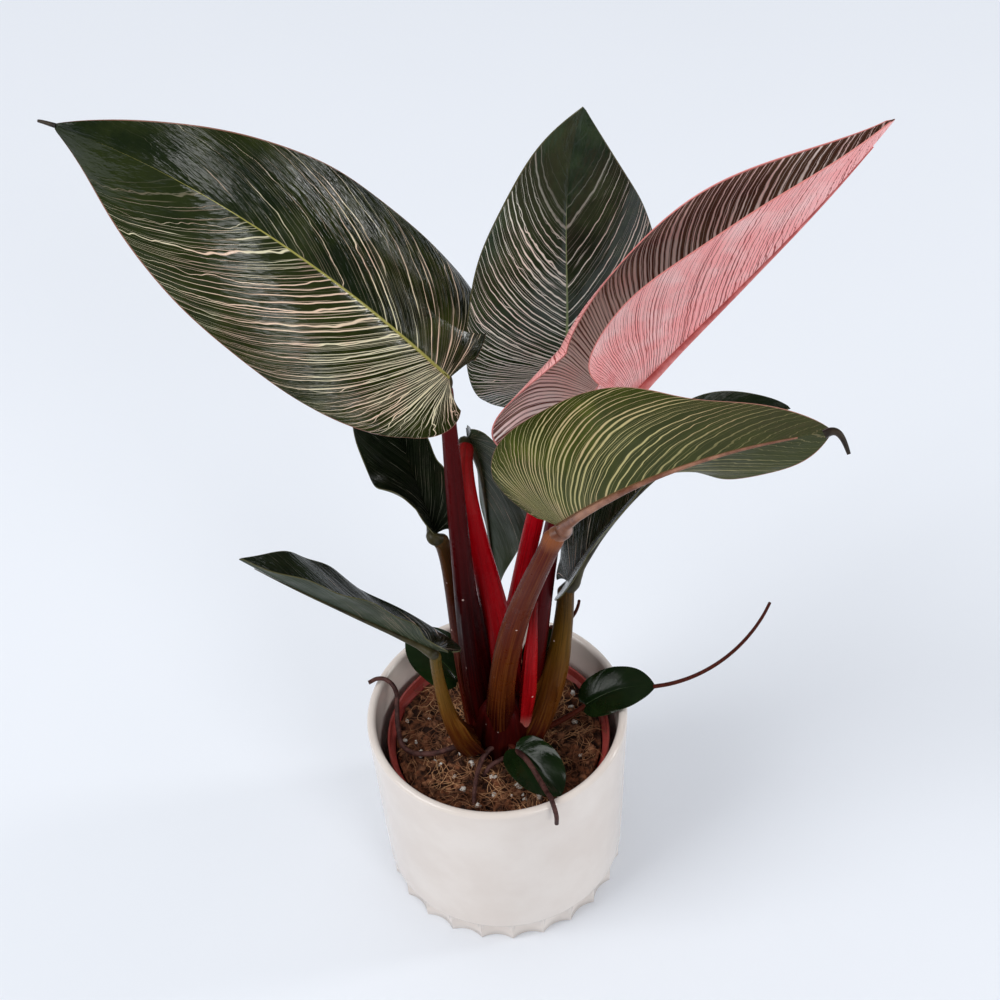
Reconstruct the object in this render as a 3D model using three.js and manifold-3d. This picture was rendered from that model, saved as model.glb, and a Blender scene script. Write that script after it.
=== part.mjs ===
// A potted philodendron with pin-striped leaves: eight grown leaves, four small ones, their stalks, the soil,
// the plastic nursery pot that it grows in and the glazed pot with a fluted foot that holds both.
// Millimetres, +Z up. The origin is the middle of the pot's underside, and the pot's front looks along -Y.
import * as THREE from "three";
import { mergeVertices } from "three/addons/utils/BufferGeometryUtils.js";
import Module from "manifold-3d";

const wasm = await Module();
wasm.setup();

// Driving dimensions
const GAP = 0.3;
const POT_RADIUS = 67;
const POT_HEIGHT = 115;
const POT_WALL = 4.5;
const POT_FLOOR = 6;
const POT_FILLET = 4;
const POT_SIDES = 60;
const LIP_STEPS = 4;
const WALL_FOOT_RADIUS = 64.7;
const FOOT_HEIGHT = 12.5;
const FOOT_RADIUS = 64;
const FOOT_CORE = 59;
const WALL_OVERHANG = 0.8;
const FLUTES = 24;
const FLUTE_DEPTH = 3;
const FLUTE_STEPS = 4;

const NURSERY_RIM_RADIUS = 58;
const NURSERY_BASE_RADIUS = 47;
const NURSERY_HEIGHT = 91;
const NURSERY_WALL = 1.2;
const NURSERY_LIP = 2.4;
const NURSERY_LIP_HEIGHT = 7;
const NURSERY_SIDES = 40;
const DRAIN_HOLES = 6;
const DRAIN_RADIUS = 4;
const DRAIN_CIRCLE = 30;
const DRAIN_SIDES = 10;

const SOIL_LEVEL = 91.5;
const SOIL_RINGS = 7;
const SOIL_SECTORS = 30;
const MOUND_HEIGHT = 2.5;
const MOUND_SPREAD = 22;
const CRUMB_START = 20;
const CRUMB_MARGIN = 4;
const PERLITE_GRAINS = 22;
const PERLITE_RADIUS = [1.1, 2.3];
const BARK_CHIPS = 9;
const BARK_LENGTH = [5, 9];
const BARK_WIDTH = [2.5, 4.5];
const BARK_HEIGHT = 1.6;
const BARK_TILT = [0, 0.5];
const FIBRES = 8;
const FIBRE_REACH = [6, 11];
const FIBRE_RADIUS = [0.6, 0.5];
const FIBRE_ARCH = 1.4;
const FIBRE_SINK = 0.6;
const FIBRE_TWIST = 0.3;
const FIBRE_STEPS = 5;
const FIBRE_SIDES = 4;

const CROWN = [3, 2];
const CROWN_RADIUS = [22, 12];
const CROWN_TOP = 128;
const CROWN_BOTTOM = 74;
const CROWN_EASE = 12;
const CROWN_STEPS = 5;
const CROWN_SIDES = 14;

const BLADE_THICKNESS = 0.9;
const LEAST_FLATNESS = 0.6;
const WAVES = 4;
const WAVE_SHIFT = 0.9;
const RIB_SHARES = [0.02, 0.2, 0.4, 0.6, 0.8];
const RIB_TO_STALK = 0.42;
const RIB_END = 0.5;
const RIB_SINK = 0.3;
const RIB_STEPS = 7;
const RIB_SIDES = 5;
const STALK_SIDES = 8;
const STALK_STEPS = 10;

// Where the side veins start and how they bow. Those that end in the margin's basal share all start at the stalk.
const BASAL_SHARE = 0.24;
const FIRST_VEIN = 0.05;
const VEIN_POWER = 1.12;
const VEIN_BOW = [0.55, 0.32];

// The margin's proportions, as shares of a half's width and length.
const SINUS = [0.04, -0.012];
const SINUS_TURN = 0.15;
const LOBE_PULL = [1.55, 1.15];
const SHOULDER = 0.42;
const NOSE = 0.2;
const TIP_WIDTH = 0.012;

// Materials, from the photograph
const paint = (color, roughness) =>
  new THREE.MeshStandardMaterial({ color, roughness, metalness: 0 });
const GLAZE = paint(0xe9e6e1, 0.18);
const RED_PLASTIC = paint(0x6b2a22, 0.5);
const SOIL = paint(0x4a3126, 0.95);
const DARK_LEAF = paint(0x1f2b1b, 0.35);
const PINK_LEAF = paint(0xb5605f, 0.4);
const OLIVE_LEAF = paint(0x55602e, 0.45);
const CRIMSON = paint(0x7d1420, 0.4);
const BROWN_STALK = paint(0x5a3a22, 0.5);
const ROOT = paint(0x4b2a20, 0.7);

// One half of a blade: its greatest width in mm, then three numbers that shape its margin, as shares of the
// blade's length and half width: how far the lobe drops, where it is widest and how full the tip is. Last come
// two angles in degrees, each at the base and at the tip: how far the half folds up from the midrib, and how
// much it curls on from there to its margin.
const half = (width, lobe, wide, tip, fold, curl = [0, 0]) => ({ width, lobe, wide, tip, fold, curl });

// Each leaf: four control points of the midrib, the way its upper face looks at the base and at the tip, its
// two halves, four control points of its stalk from the soil up, and the stalk's radius at even steps along it.
const LEAVES = [
  {
    name: "leaf_front",
    look: OLIVE_LEAF,
    stalkLook: BROWN_STALK,
    midrib: [[30, -46, 287], [43, -103, 356], [81, -86, 359], [121, -107, 381]],
    up: [[-0.59, 0.68, -0.06], [-0.19, 0.88, -0.25]],
    right: half(41.5, 0.1, 0.27, 0.73, [86, 96]),
    left: half(33, 0.02, 0.25, 0.87, [58, 12]),
    wave: 0.6,
    tail: [[118.5, -107.5, 380.2], [123.5, -106.5, 383.5], [125, -109.5, 379], [126.5, -112.4, 374.9]],
    stalk: [[1, -4, 102], [3.5, -11, 191], [20, -49.5, 257], [30, -47, 285]],
    radius: [8, 6.6, 6.2, 5.2, 4.2],
    rows: 15,
    columns: 4,
  },
  {
    name: "leaf_right",
    look: DARK_LEAF,
    stalkLook: BROWN_STALK,
    midrib: [[39, 22, 183], [58, 30, 214], [87, 59, 234], [150, 54, 257]],
    up: [[-0.53, 0.17, 0.72], [-0.43, 0.03, 0.75]],
    right: half(31, 0.06, 0.3, 0.4, [18, 48]),
    left: half(32, 0.05, 0.32, 0.79, [6, 32]),
    wave: 0.8,
    stalk: [[13, -6, 96], [27.5, -6.5, 112], [37, 16, 151.5], [38.6, 22, 180]],
    radius: [7, 6.5, 6.5, 5, 4],
    rows: 13,
    columns: 3,
  },
  {
    name: "leaf_low_left",
    look: DARK_LEAF,
    stalkLook: BROWN_STALK,
    midrib: [[-28, -14, 180], [-52, 3, 181], [-80, -16, 222], [-109, -18, 253]],
    up: [[0.17, 0.48, 0.69], [0.4, 0.21, 0.93]],
    right: half(25.5, 0.1, 0.37, 0.47, [7, 41]),
    left: half(18, 0.1, 0.34, 0.64, [34, 43]),
    wave: 0.8,
    stalk: [[-13, -9, 96], [-24, -21.5, 119.5], [-28.5, -12, 158.5], [-27.5, -14.5, 178]],
    radius: [7, 5.2, 4, 3.1, 2.8],
    rows: 13,
    columns: 3,
  },
  {
    name: "leaf_hanging",
    look: DARK_LEAF,
    stalkLook: CRIMSON,
    midrib: [[-5, 60, 248], [5, 57, 237], [0, 84, 169], [6, 71, 132]],
    up: [[0.46, 0.75, 0.23], [0.49, 0.78, 0.04]],
    right: half(27, 0.04, 0.34, 0.35, [-4, -8]),
    left: half(22, 0.02, 0.35, 0.4, [50, 46]),
    wave: 0.8,
    stalk: [[4, 3, 96], [12, 9.5, 169.5], [-13, 27, 228], [-5.5, 55, 250]],
    radius: [8, 8.2, 6.8, 4.8, 3.4],
    rows: 13,
    columns: 3,
  },
  {
    name: "leaf_left",
    look: DARK_LEAF,
    stalkLook: CRIMSON,
    midrib: [[-10.6, 20, 316], [-48.5, 35.5, 357], [-99, 12.5, 428.5], [-159.5, 36.5, 441.5]],
    up: [[0.39, -0.58, 0.76], [0.31, -0.7, 0.05]],
    right: half(50.5, 0.02, 0.11, 0.32, [13, 4], [-57, -32]),
    left: half(50, 0.063, 0.29, 0.61, [22, -19], [-33, -12]),
    wave: 0.8,
    stalk: [[-5, 6, 96], [-13, -2.5, 155], [-11, 26, 259], [-10.6, 21, 312.5]],
    radius: [8.5, 6.8, 5.2, 4.2, 4.1],
    rows: 17,
    columns: 5,
  },
  {
    name: "leaf_pink",
    look: PINK_LEAF,
    stalkLook: CRIMSON,
    midrib: [[64, 16, 298], [94, 32, 322], [131.5, 2.5, 388], [158, -12, 445]],
    up: [[-0.2, 0.18, 0.64], [-0.77, -0.3, 0.67]],
    right: half(53.5, 0.19, 0.23, 0.38, [39, 67], [4, 44]),
    left: half(66, 0.29, 0.21, 0.2, [30, 61], [165, 63]),
    wave: 0.4,
    stalk: [[12, 6, 96], [31, 11, 176.5], [24.5, 27, 248], [62, 18, 295]],
    radius: [7, 5.6, 4.8, 4.2, 3.8],
    rows: 17,
    columns: 5,
  },
  {
    name: "leaf_rear_left",
    look: DARK_LEAF,
    stalkLook: BROWN_STALK,
    midrib: [[-23, 25, 219], [-31, 63, 217.5], [-41, 81, 241], [-47, 50, 315]],
    up: [[0.47, -0.56, 0.59], [0.13, -0.65, 0.62]],
    right: half(24, 0.05, 0.27, 0.42, [80, 75]),
    left: half(27.5, 0.07, 0.3, 0.65, [35, -1]),
    wave: 0.8,
    stalk: [[-10, 3, 96], [-19.5, 12.5, 157], [-15, 28.5, 196.5], [-22.2, 24.5, 217]],
    radius: [6, 4.8, 4.2, 4, 3.6],
    rows: 13,
    columns: 3,
  },
  {
    name: "leaf_back",
    look: DARK_LEAF,
    stalkLook: CRIMSON,
    midrib: [[42, 65.5, 272], [48, 53, 329], [38, 54, 381], [51, 47.5, 426]],
    up: [[0.09, -0.82, 0.51], [0.15, -0.82, 0.56]],
    right: half(44, 0.11, 0.32, 0.48, [0, 17], [-27, -23]),
    left: half(50, 0.1, 0.29, 0.42, [7, 20], [14, -20]),
    wave: 1,
    stalk: [[6, 8, 96], [7, 24.5, 174], [37, 49.5, 235.5], [42, 67, 270]],
    radius: [7, 5.6, 4.8, 4.4, 4],
    rows: 15,
    columns: 4,
  },
];

// The small round leaves of the plant's youth, with their stalks and the thread that some tips end in.
const SMALL_LEAVES = [
  {
    name: "small_leaf_left",
    midrib: [[-19, 20, 117], [-26, 26, 126], [-35, 33, 131], [-45, 40, 131]],
    up: [[0.1, -0.45, 0.85], [0.1, -0.45, 0.85]],
    right: half(14, 0.06, 0.42, 0.7, [12, 8]),
    left: half(14, 0.06, 0.42, 0.7, [12, 8]),
    stalk: [[-7, 8, 94], [-10, 13, 104], [-14, 17, 112], [-19, 20, 116.5]],
  },
  {
    name: "small_leaf_right",
    midrib: [[46, 3, 109.5], [57, 4, 118], [68, 4, 123], [82, 2, 121]],
    up: [[-0.15, -0.35, 0.9], [0.1, -0.35, 0.9]],
    right: half(12, 0.06, 0.42, 0.7, [14, 8]),
    left: half(12, 0.06, 0.42, 0.7, [14, 8]),
    stalk: [[12, -3, 94], [24, -4, 101], [36, -1, 104], [46, 3, 109]],
    thread: [[81, 2, 121.3], [110, -2, 128], [130, 3, 150], [137, 4, 176]],
  },
  {
    name: "small_leaf_front",
    midrib: [[8, -17, 103], [14, -25, 104], [22, -35, 103], [29, -45, 98.5]],
    up: [[-0.1, -0.25, 0.95], [0.1, -0.45, 0.9]],
    right: half(13, 0.06, 0.42, 0.7, [16, 8]),
    left: half(13, 0.06, 0.42, 0.7, [16, 8]),
    stalk: [[3, -6, 94], [4, -9, 99], [5, -13, 102], [8, -17, 102.6]],
  },
  {
    name: "small_leaf_rear",
    midrib: [[22, 22, 118], [26, 24, 126], [29, 27, 134], [31, 30, 142]],
    up: [[-0.1, -0.75, 0.6], [-0.1, -0.75, 0.6]],
    right: half(11, 0.06, 0.42, 0.7, [14, 8]),
    left: half(11, 0.06, 0.42, 0.7, [14, 8]),
    stalk: [[14, 12, 94], [17, 16, 102], [20, 20, 110], [22, 22, 117.6]],
    thread: [[30.8, 29.8, 141.4], [38, 24, 146], [44, 22, 158], [45, 22, 168]],
  },
];
const SMALL_ROWS = 8;
const SMALL_COLUMNS = 2;
const SMALL_RADIUS = [2, 1.3];
const SMALL_RIB_END = 0.4;
const SMALL_STEPS = 6;
const SMALL_SIDES = 5;
const THREAD_RADIUS = [1.1, 0.8];
const THREAD_STEPS = 9;
const THREAD_SIDES = 4;
const TAIL_RADIUS = [1.4, 0.7];
const TAIL_STEPS = 4;

// The next leaf, still rolled in its sheath beside the stalks.
const SHEATH = [[13, -5, 106], [17, -5.5, 135], [18, -4, 165], [22.5, 3, 192]];
const SHEATH_RADIUS = [5, 4.5, 3.4, 1.2];
const SHEATH_STEPS = 8;

// Roots that leave the crown in the air: the first climbs over both rims, the second hangs over the pot's lip
// and the others dive into the soil.
const AERIAL_ROOTS = {
  aerial_root_left: [
    [-9, -6, 98], [-22, -10, 99], [-38, -12, 97.5], [-49, -7, 97], [-52, 3, 101], [-52, 11, 108],
    [-52, 17, 115], [-56, 22, 117.6], [-61, 24, 117.4], [-66, 22, 117],
  ],
  aerial_root_front: [
    [6, -13, 99], [13, -27, 106.5], [19, -42, 108], [22, -53, 112], [23, -59, 117], [24, -64, 117.4],
    [25, -67.5, 114], [25, -68, 108],
  ],
  aerial_root_short: [[-2, -12, 101], [-7, -16, 100], [-11, -23, 98], [-14, -35, 95.5], [-15, -42, 91]],
  aerial_root_low: [[6, -14, 100], [4.5, -18.5, 99.5], [0, -20.5, 99], [-5, -22.5, 97.5], [-9, -25, 93]],
};
const ROOT_RADIUS = [1.5, 1.1];
const ROOT_SIDES = 6;

// Solids
const vector = (p) => new THREE.Vector3(...p);

function solidOf(geometry) {
  const bare = geometry.clone();
  bare.deleteAttribute("normal");
  bare.deleteAttribute("uv");
  const merged = mergeVertices(bare, 1e-3);
  return new wasm.Manifold(
    new wasm.Mesh({
      numProp: 3,
      vertProperties: merged.attributes.position.array,
      triVerts: new Uint32Array(merged.index.array),
    }),
  );
}

function geometryOf(solid) {
  const { numProp, vertProperties, triVerts } = solid.getMesh();
  const positions = new Float32Array((vertProperties.length / numProp) * 3);
  for (let i = 0; i < positions.length / 3; i++) {
    positions.set(vertProperties.subarray(i * numProp, i * numProp + 3), i * 3);
  }
  const geometry = new THREE.BufferGeometry();
  geometry.setAttribute("position", new THREE.BufferAttribute(positions, 3));
  geometry.setIndex(new THREE.BufferAttribute(new Uint32Array(triVerts), 1));
  geometry.computeVertexNormals();
  return geometry;
}

function largestPiece(solid) {
  const pieces = solid.decompose();
  return pieces.reduce((best, piece) => (piece.volume() > best.volume() ? piece : best));
}

const fused = (solids) => solids.reduce((sum, solid) => sum.add(solid));

function closedSolid(points, triangles) {
  const geometry = new THREE.BufferGeometry();
  geometry.setAttribute("position", new THREE.Float32BufferAttribute(points.flatMap((p) => p.toArray()), 3));
  geometry.setIndex(triangles.flat());
  return solidOf(geometry);
}

function lathe(profile, sides) {
  const geometry = new THREE.LatheGeometry(profile.map((p) => new THREE.Vector2(...p)), sides);
  return solidOf(geometry.rotateX(Math.PI / 2));
}

// The radius at a share of a stem's length, from its radii at even steps.
function radiusAt(radii, share) {
  const place = share * (radii.length - 1);
  const before = Math.min(Math.floor(place), radii.length - 2);
  return THREE.MathUtils.lerp(radii[before], radii[before + 1], place - before);
}

// A round stem along a curve.
function stem(curve, radii, steps, sides, grow = 0) {
  const frames = curve.computeFrenetFrames(steps);
  const points = [];
  for (let i = 0; i <= steps; i++) {
    const centre = curve.getPointAt(i / steps);
    const radius = radiusAt(radii, i / steps) + grow;
    for (let k = 0; k < sides; k++) {
      const angle = (2 * Math.PI * k) / sides;
      points.push(
        centre
          .clone()
          .addScaledVector(frames.normals[i], radius * Math.cos(angle))
          .addScaledVector(frames.binormals[i], radius * Math.sin(angle)),
      );
    }
  }
  const triangles = [];
  for (let i = 0; i < steps; i++) {
    for (let k = 0; k < sides; k++) {
      const a = i * sides + k;
      const b = i * sides + ((k + 1) % sides);
      triangles.push([a, b, b + sides], [a, b + sides, a + sides]);
    }
  }
  const last = steps * sides;
  for (let k = 1; k < sides - 1; k++) {
    triangles.push([0, k + 1, k], [last, last + k, last + k + 1]);
  }
  return closedSolid(points, triangles);
}

const bezier = (points) => new THREE.CubicBezierCurve3(...points.map(vector));

// The margin of one half, in mm across and along, from the sinus round the lobe to the tip.
function marginOf({ width, lobe, wide, tip }, length) {
  const at = (x, y) => new THREE.Vector2(x * width, y * length);
  const widest = at(1, wide);
  const lobeStart = at(SINUS_TURN, -LOBE_PULL[0] * lobe);
  const lobeEnd = at(1, -LOBE_PULL[1] * lobe);
  const shoulder = at(1, wide + SHOULDER * (1 - wide));
  const nose = at(tip, 1 - NOSE * (1 - wide));
  const margin = new THREE.CurvePath();
  margin.add(new THREE.CubicBezierCurve(at(...SINUS), lobeStart, lobeEnd, widest));
  margin.add(new THREE.CubicBezierCurve(widest, shoulder, nose, at(TIP_WIDTH, 1)));
  return margin;
}

// A point of one half: `along` runs round the margin, `across` along a side vein from midrib to margin.
function bladePoint(leaf, side, sign, midrib, margin, along, across) {
  const length = midrib.getLength();
  const edge = margin.getPoint(along);
  const share = Math.max(0, (along - BASAL_SHARE) / (1 - BASAL_SHARE));
  const veinStart = length * share ** VEIN_POWER;
  const vein = new THREE.QuadraticBezierCurve(
    new THREE.Vector2(0, veinStart),
    new THREE.Vector2(VEIN_BOW[0] * edge.x, veinStart + VEIN_BOW[1] * (edge.y - veinStart)),
    edge,
  );
  const flat = vein.getPoint(across);
  const t = THREE.MathUtils.clamp(flat.y / length, 0, 1);
  const tangent = midrib.getTangentAt(t);
  const point = midrib.getPointAt(t).addScaledVector(tangent, Math.min(flat.y, 0));
  const normal = vector(leaf.up[0]).lerp(vector(leaf.up[1]), t);
  normal.addScaledVector(tangent, -normal.dot(tangent)).normalize();
  const sideways = new THREE.Vector3().crossVectors(tangent, normal);
  const fold = THREE.MathUtils.degToRad(THREE.MathUtils.lerp(...side.fold, t));
  const curl = THREE.MathUtils.degToRad(THREE.MathUtils.lerp(...side.curl, t)) || 1e-4;
  const reach = flat.x / side.width;
  const out = (side.width / curl) * (Math.sin(fold + curl * reach) - Math.sin(fold));
  const phase = 2 * Math.PI * WAVES * along + (sign < 0 ? WAVE_SHIFT : 0);
  const ripple = (leaf.wave ?? 0) * Math.sin(phase) * across * across;
  const rise = (side.width / curl) * (Math.cos(fold) - Math.cos(fold + curl * reach)) + ripple;
  return point.addScaledVector(sideways, sign * out).addScaledVector(normal, rise);
}

// A blade as a thin closed sheet. Both halves share the midrib, the basal veins all start at the stalk, and
// the last row is the tip. `grow` thickens it and widens its outline, for cutting a neighbour clear.
function blade(leaf, rows, columns, grow = 0) {
  const midrib = bezier(leaf.midrib);
  const sheet = [];
  const numbers = new Map();
  const number = (key, make) => {
    if (!numbers.has(key)) {
      numbers.set(key, sheet.length);
      sheet.push(make());
    }
    return numbers.get(key);
  };
  const sides = [
    { sign: 1, side: leaf.right },
    { sign: -1, side: leaf.left },
  ].map((s) => ({ ...s, margin: marginOf(s.side, midrib.getLength()) }));
  const along = (row) => FIRST_VEIN + ((1 - FIRST_VEIN) * row) / rows;
  const vertex = ({ sign, side, margin }, row, column) => {
    if (row === rows) return number("tip", () => midrib.getPointAt(1));
    if (column === 0 && along(row) <= BASAL_SHARE) return number("base", () => midrib.getPointAt(0));
    const key = column === 0 ? `midrib ${row}` : `${sign} ${row} ${column}`;
    const across = column / columns;
    return number(key, () => bladePoint(leaf, side, sign, midrib, margin, along(row), across));
  };

  const faces = [];
  for (const s of sides) {
    for (let row = 0; row < rows; row++) {
      for (let column = 0; column < columns; column++) {
        const a = vertex(s, row, column);
        const b = vertex(s, row, column + 1);
        const c = vertex(s, row + 1, column + 1);
        const d = vertex(s, row + 1, column);
        for (const face of [[a, b, c], [a, c, d]]) {
          if (new Set(face).size === 3) faces.push(s.sign > 0 ? face.reverse() : face);
        }
      }
    }
  }

  const border = [vertex(sides[0], 0, 0)];
  for (let column = 1; column < columns; column++) border.push(vertex(sides[0], 0, column));
  for (let row = 0; row < rows; row++) border.push(vertex(sides[0], row, columns));
  border.push(vertex(sides[0], rows, 0));
  for (let row = rows - 1; row >= 0; row--) border.push(vertex(sides[1], row, columns));
  for (let column = columns - 1; column > 0; column--) border.push(vertex(sides[1], 0, column));

  const faceNormals = faces.map(([a, b, c]) =>
    new THREE.Triangle(sheet[a], sheet[b], sheet[c]).getNormal(new THREE.Vector3()),
  );
  const normals = sheet.map(() => new THREE.Vector3());
  faces.forEach((face, i) => face.forEach((n) => normals[n].add(faceNormals[i])));
  normals.forEach((n) => n.normalize());
  const flatness = sheet.map(() => []);
  faces.forEach((face, i) => face.forEach((n) => flatness[n].push(normals[n].dot(faceNormals[i]))));

  const widened = sheet.map((p) => p.clone());
  if (grow > 0) {
    border.forEach((n, i) => {
      const before = sheet[border[(i + border.length - 1) % border.length]];
      const after = sheet[border[(i + 1) % border.length]];
      const outward = new THREE.Vector3().subVectors(before, after).cross(normals[n]).normalize();
      widened[n].addScaledVector(outward, grow);
    });
  }
  const offset = (direction) =>
    widened.map((p, n) => {
      const mean = flatness[n].reduce((sum, c) => sum + c, 0) / flatness[n].length;
      const height = (BLADE_THICKNESS / 2 + grow) / Math.max(LEAST_FLATNESS, mean);
      return p.clone().addScaledVector(normals[n], direction * height);
    });
  const under = sheet.length;
  const triangles = [];
  for (const [a, b, c] of faces) {
    triangles.push([a, b, c], [under + c, under + b, under + a]);
  }
  border.forEach((a, i) => {
    const b = border[(i + 1) % border.length];
    triangles.push([a, b, under + b], [a, under + b, under + a]);
  });
  return closedSolid([...offset(1), ...offset(-1)], triangles);
}

// The raised midrib along the underside of a blade.
function rib(leaf, radii) {
  const midrib = bezier(leaf.midrib);
  const points = [];
  for (const t of RIB_SHARES) {
    const tangent = midrib.getTangentAt(t);
    const normal = vector(leaf.up[0]).lerp(vector(leaf.up[1]), t);
    normal.addScaledVector(tangent, -normal.dot(tangent)).normalize();
    const sunk = BLADE_THICKNESS / 2 + RIB_SINK * radiusAt(radii, t);
    points.push(midrib.getPointAt(t).addScaledVector(normal, -sunk));
  }
  return stem(new THREE.CatmullRomCurve3(points), radii, RIB_STEPS, RIB_SIDES);
}

// The cover pot: a turned wall with a round lip, on a foot whose flutes are hollowed between sharp ridges.
function coverPot() {
  const lip = POT_WALL / 2;
  const innerRim = POT_RADIUS - POT_WALL;
  const innerFoot = WALL_FOOT_RADIUS - POT_WALL;
  const inside = [[0, POT_FLOOR], [innerFoot - POT_FILLET, POT_FLOOR], [innerFoot, POT_FLOOR + POT_FILLET]];
  const rim = [];
  for (let i = 0; i <= LIP_STEPS; i++) {
    const angle = Math.PI - (Math.PI * i) / LIP_STEPS;
    rim.push([innerRim + lip + lip * Math.cos(angle), POT_HEIGHT - lip + lip * Math.sin(angle)]);
  }
  const outside = [
    [WALL_FOOT_RADIUS, FOOT_HEIGHT],
    [FOOT_CORE, FOOT_HEIGHT - WALL_OVERHANG],
    [FOOT_CORE, POT_FLOOR / 2],
    [0, POT_FLOOR / 2],
  ];
  const wall = lathe([...inside, ...rim, ...outside].reverse(), POT_SIDES);
  const cavity = lathe([...inside, [innerFoot, FOOT_HEIGHT], [0, FOOT_HEIGHT]], POT_SIDES);

  const outline = [];
  for (let i = 0; i < FLUTES * FLUTE_STEPS; i++) {
    const across = (2 * (i % FLUTE_STEPS)) / FLUTE_STEPS - 1;
    const radius = FOOT_RADIUS - FLUTE_DEPTH * (1 - across * across);
    const angle = (2 * Math.PI * i) / (FLUTES * FLUTE_STEPS);
    outline.push(new THREE.Vector2(radius * Math.cos(angle), radius * Math.sin(angle)));
  }
  const depth = FOOT_HEIGHT - WALL_OVERHANG / 2;
  const foot = new THREE.ExtrudeGeometry(new THREE.Shape(outline), { depth, bevelEnabled: false });
  return wall.add(solidOf(foot)).subtract(cavity);
}

// The nursery pot: a thin tapered wall under a flared rim, with drain holes in its floor.
function nurseryPot() {
  const under = NURSERY_HEIGHT - NURSERY_LIP_HEIGHT;
  const wallTop = NURSERY_RIM_RADIUS - NURSERY_LIP;
  const outside = [
    [0, 0],
    [NURSERY_BASE_RADIUS, 0],
    [wallTop, under - 1],
    [NURSERY_RIM_RADIUS, under],
    [NURSERY_RIM_RADIUS, NURSERY_HEIGHT],
  ];
  const inside = [
    [NURSERY_RIM_RADIUS - NURSERY_WALL, NURSERY_HEIGHT],
    [NURSERY_RIM_RADIUS - NURSERY_WALL, under + NURSERY_WALL],
    [wallTop - NURSERY_WALL, under],
    [NURSERY_BASE_RADIUS - NURSERY_WALL, NURSERY_WALL],
    [0, NURSERY_WALL],
  ];
  let pot = lathe([...outside, ...inside], NURSERY_SIDES);
  for (let i = 0; i < DRAIN_HOLES; i++) {
    const angle = (2 * Math.PI * i) / DRAIN_HOLES;
    const drill = new THREE.CylinderGeometry(DRAIN_RADIUS, DRAIN_RADIUS, 4 * NURSERY_WALL, DRAIN_SIDES);
    drill.rotateX(Math.PI / 2).translate(DRAIN_CIRCLE * Math.cos(angle), DRAIN_CIRCLE * Math.sin(angle), 0);
    pot = pot.subtract(solidOf(drill));
  }
  return pot;
}

const NURSERY_Z = POT_FLOOR + GAP;

// The soil: a plug that fills the nursery pot, with an uneven top, grains of perlite, bark chips and fibres.
// Each wave of its top has a height in mm, its run along x and y in radians per mm, and its start.
const SOIL_GAP = 3 * GAP;
const SOIL_WAVES = [
  [1.1, 0.21, 0.17, 1.3],
  [0.8, 0.43, -0.31, 0],
  [0.5, 0.29, 0.6, 1.6],
];

function soilHeight(x, y) {
  const fromCrown = Math.hypot(x - CROWN[0], y - CROWN[1]) / MOUND_SPREAD;
  let z = SOIL_LEVEL + MOUND_HEIGHT * Math.exp(-(fromCrown ** 2));
  for (const [height, alongX, alongY, start] of SOIL_WAVES) {
    z += height * Math.sin(alongX * x + alongY * y + start);
  }
  return z;
}

function soilRadius(z) {
  const share = (z - NURSERY_Z) / (NURSERY_HEIGHT - NURSERY_LIP_HEIGHT);
  const outer = THREE.MathUtils.lerp(NURSERY_BASE_RADIUS, NURSERY_RIM_RADIUS - NURSERY_LIP, share);
  return outer - NURSERY_WALL - SOIL_GAP;
}

function soilPlug() {
  const bottom = NURSERY_Z + NURSERY_WALL + GAP;
  const points = [new THREE.Vector3(0, 0, soilHeight(0, 0)), new THREE.Vector3(0, 0, bottom)];
  const ring = (radius, z) => {
    const first = points.length;
    for (let k = 0; k < SOIL_SECTORS; k++) {
      const angle = (2 * Math.PI * k) / SOIL_SECTORS;
      const x = radius * Math.cos(angle);
      const y = radius * Math.sin(angle);
      points.push(new THREE.Vector3(x, y, z ?? soilHeight(x, y)));
    }
    return first;
  };
  const rings = [];
  const edge = soilRadius(SOIL_LEVEL);
  for (let i = 1; i <= SOIL_RINGS; i++) rings.push(ring((edge * i) / SOIL_RINGS));
  rings.push(ring(soilRadius(bottom), bottom));
  const triangles = [];
  for (let k = 0; k < SOIL_SECTORS; k++) {
    const next = (k + 1) % SOIL_SECTORS;
    triangles.push([0, rings[0] + k, rings[0] + next]);
    for (let i = 1; i < rings.length; i++) {
      const inside = rings[i - 1];
      const outside = rings[i];
      triangles.push([inside + k, outside + k, outside + next], [inside + k, outside + next, inside + next]);
    }
    const last = rings.at(-1);
    triangles.push([1, last + next, last + k]);
  }
  return closedSolid(points, triangles);
}

// A small generator of numbers from 0 to 1, so that every build strews the same crumbs.
function seeded(seed) {
  const modulus = 2147483647;
  const factor = 16807;
  let state = seed;
  return () => {
    state = (state * factor) % modulus;
    return state / modulus;
  };
}

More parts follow.
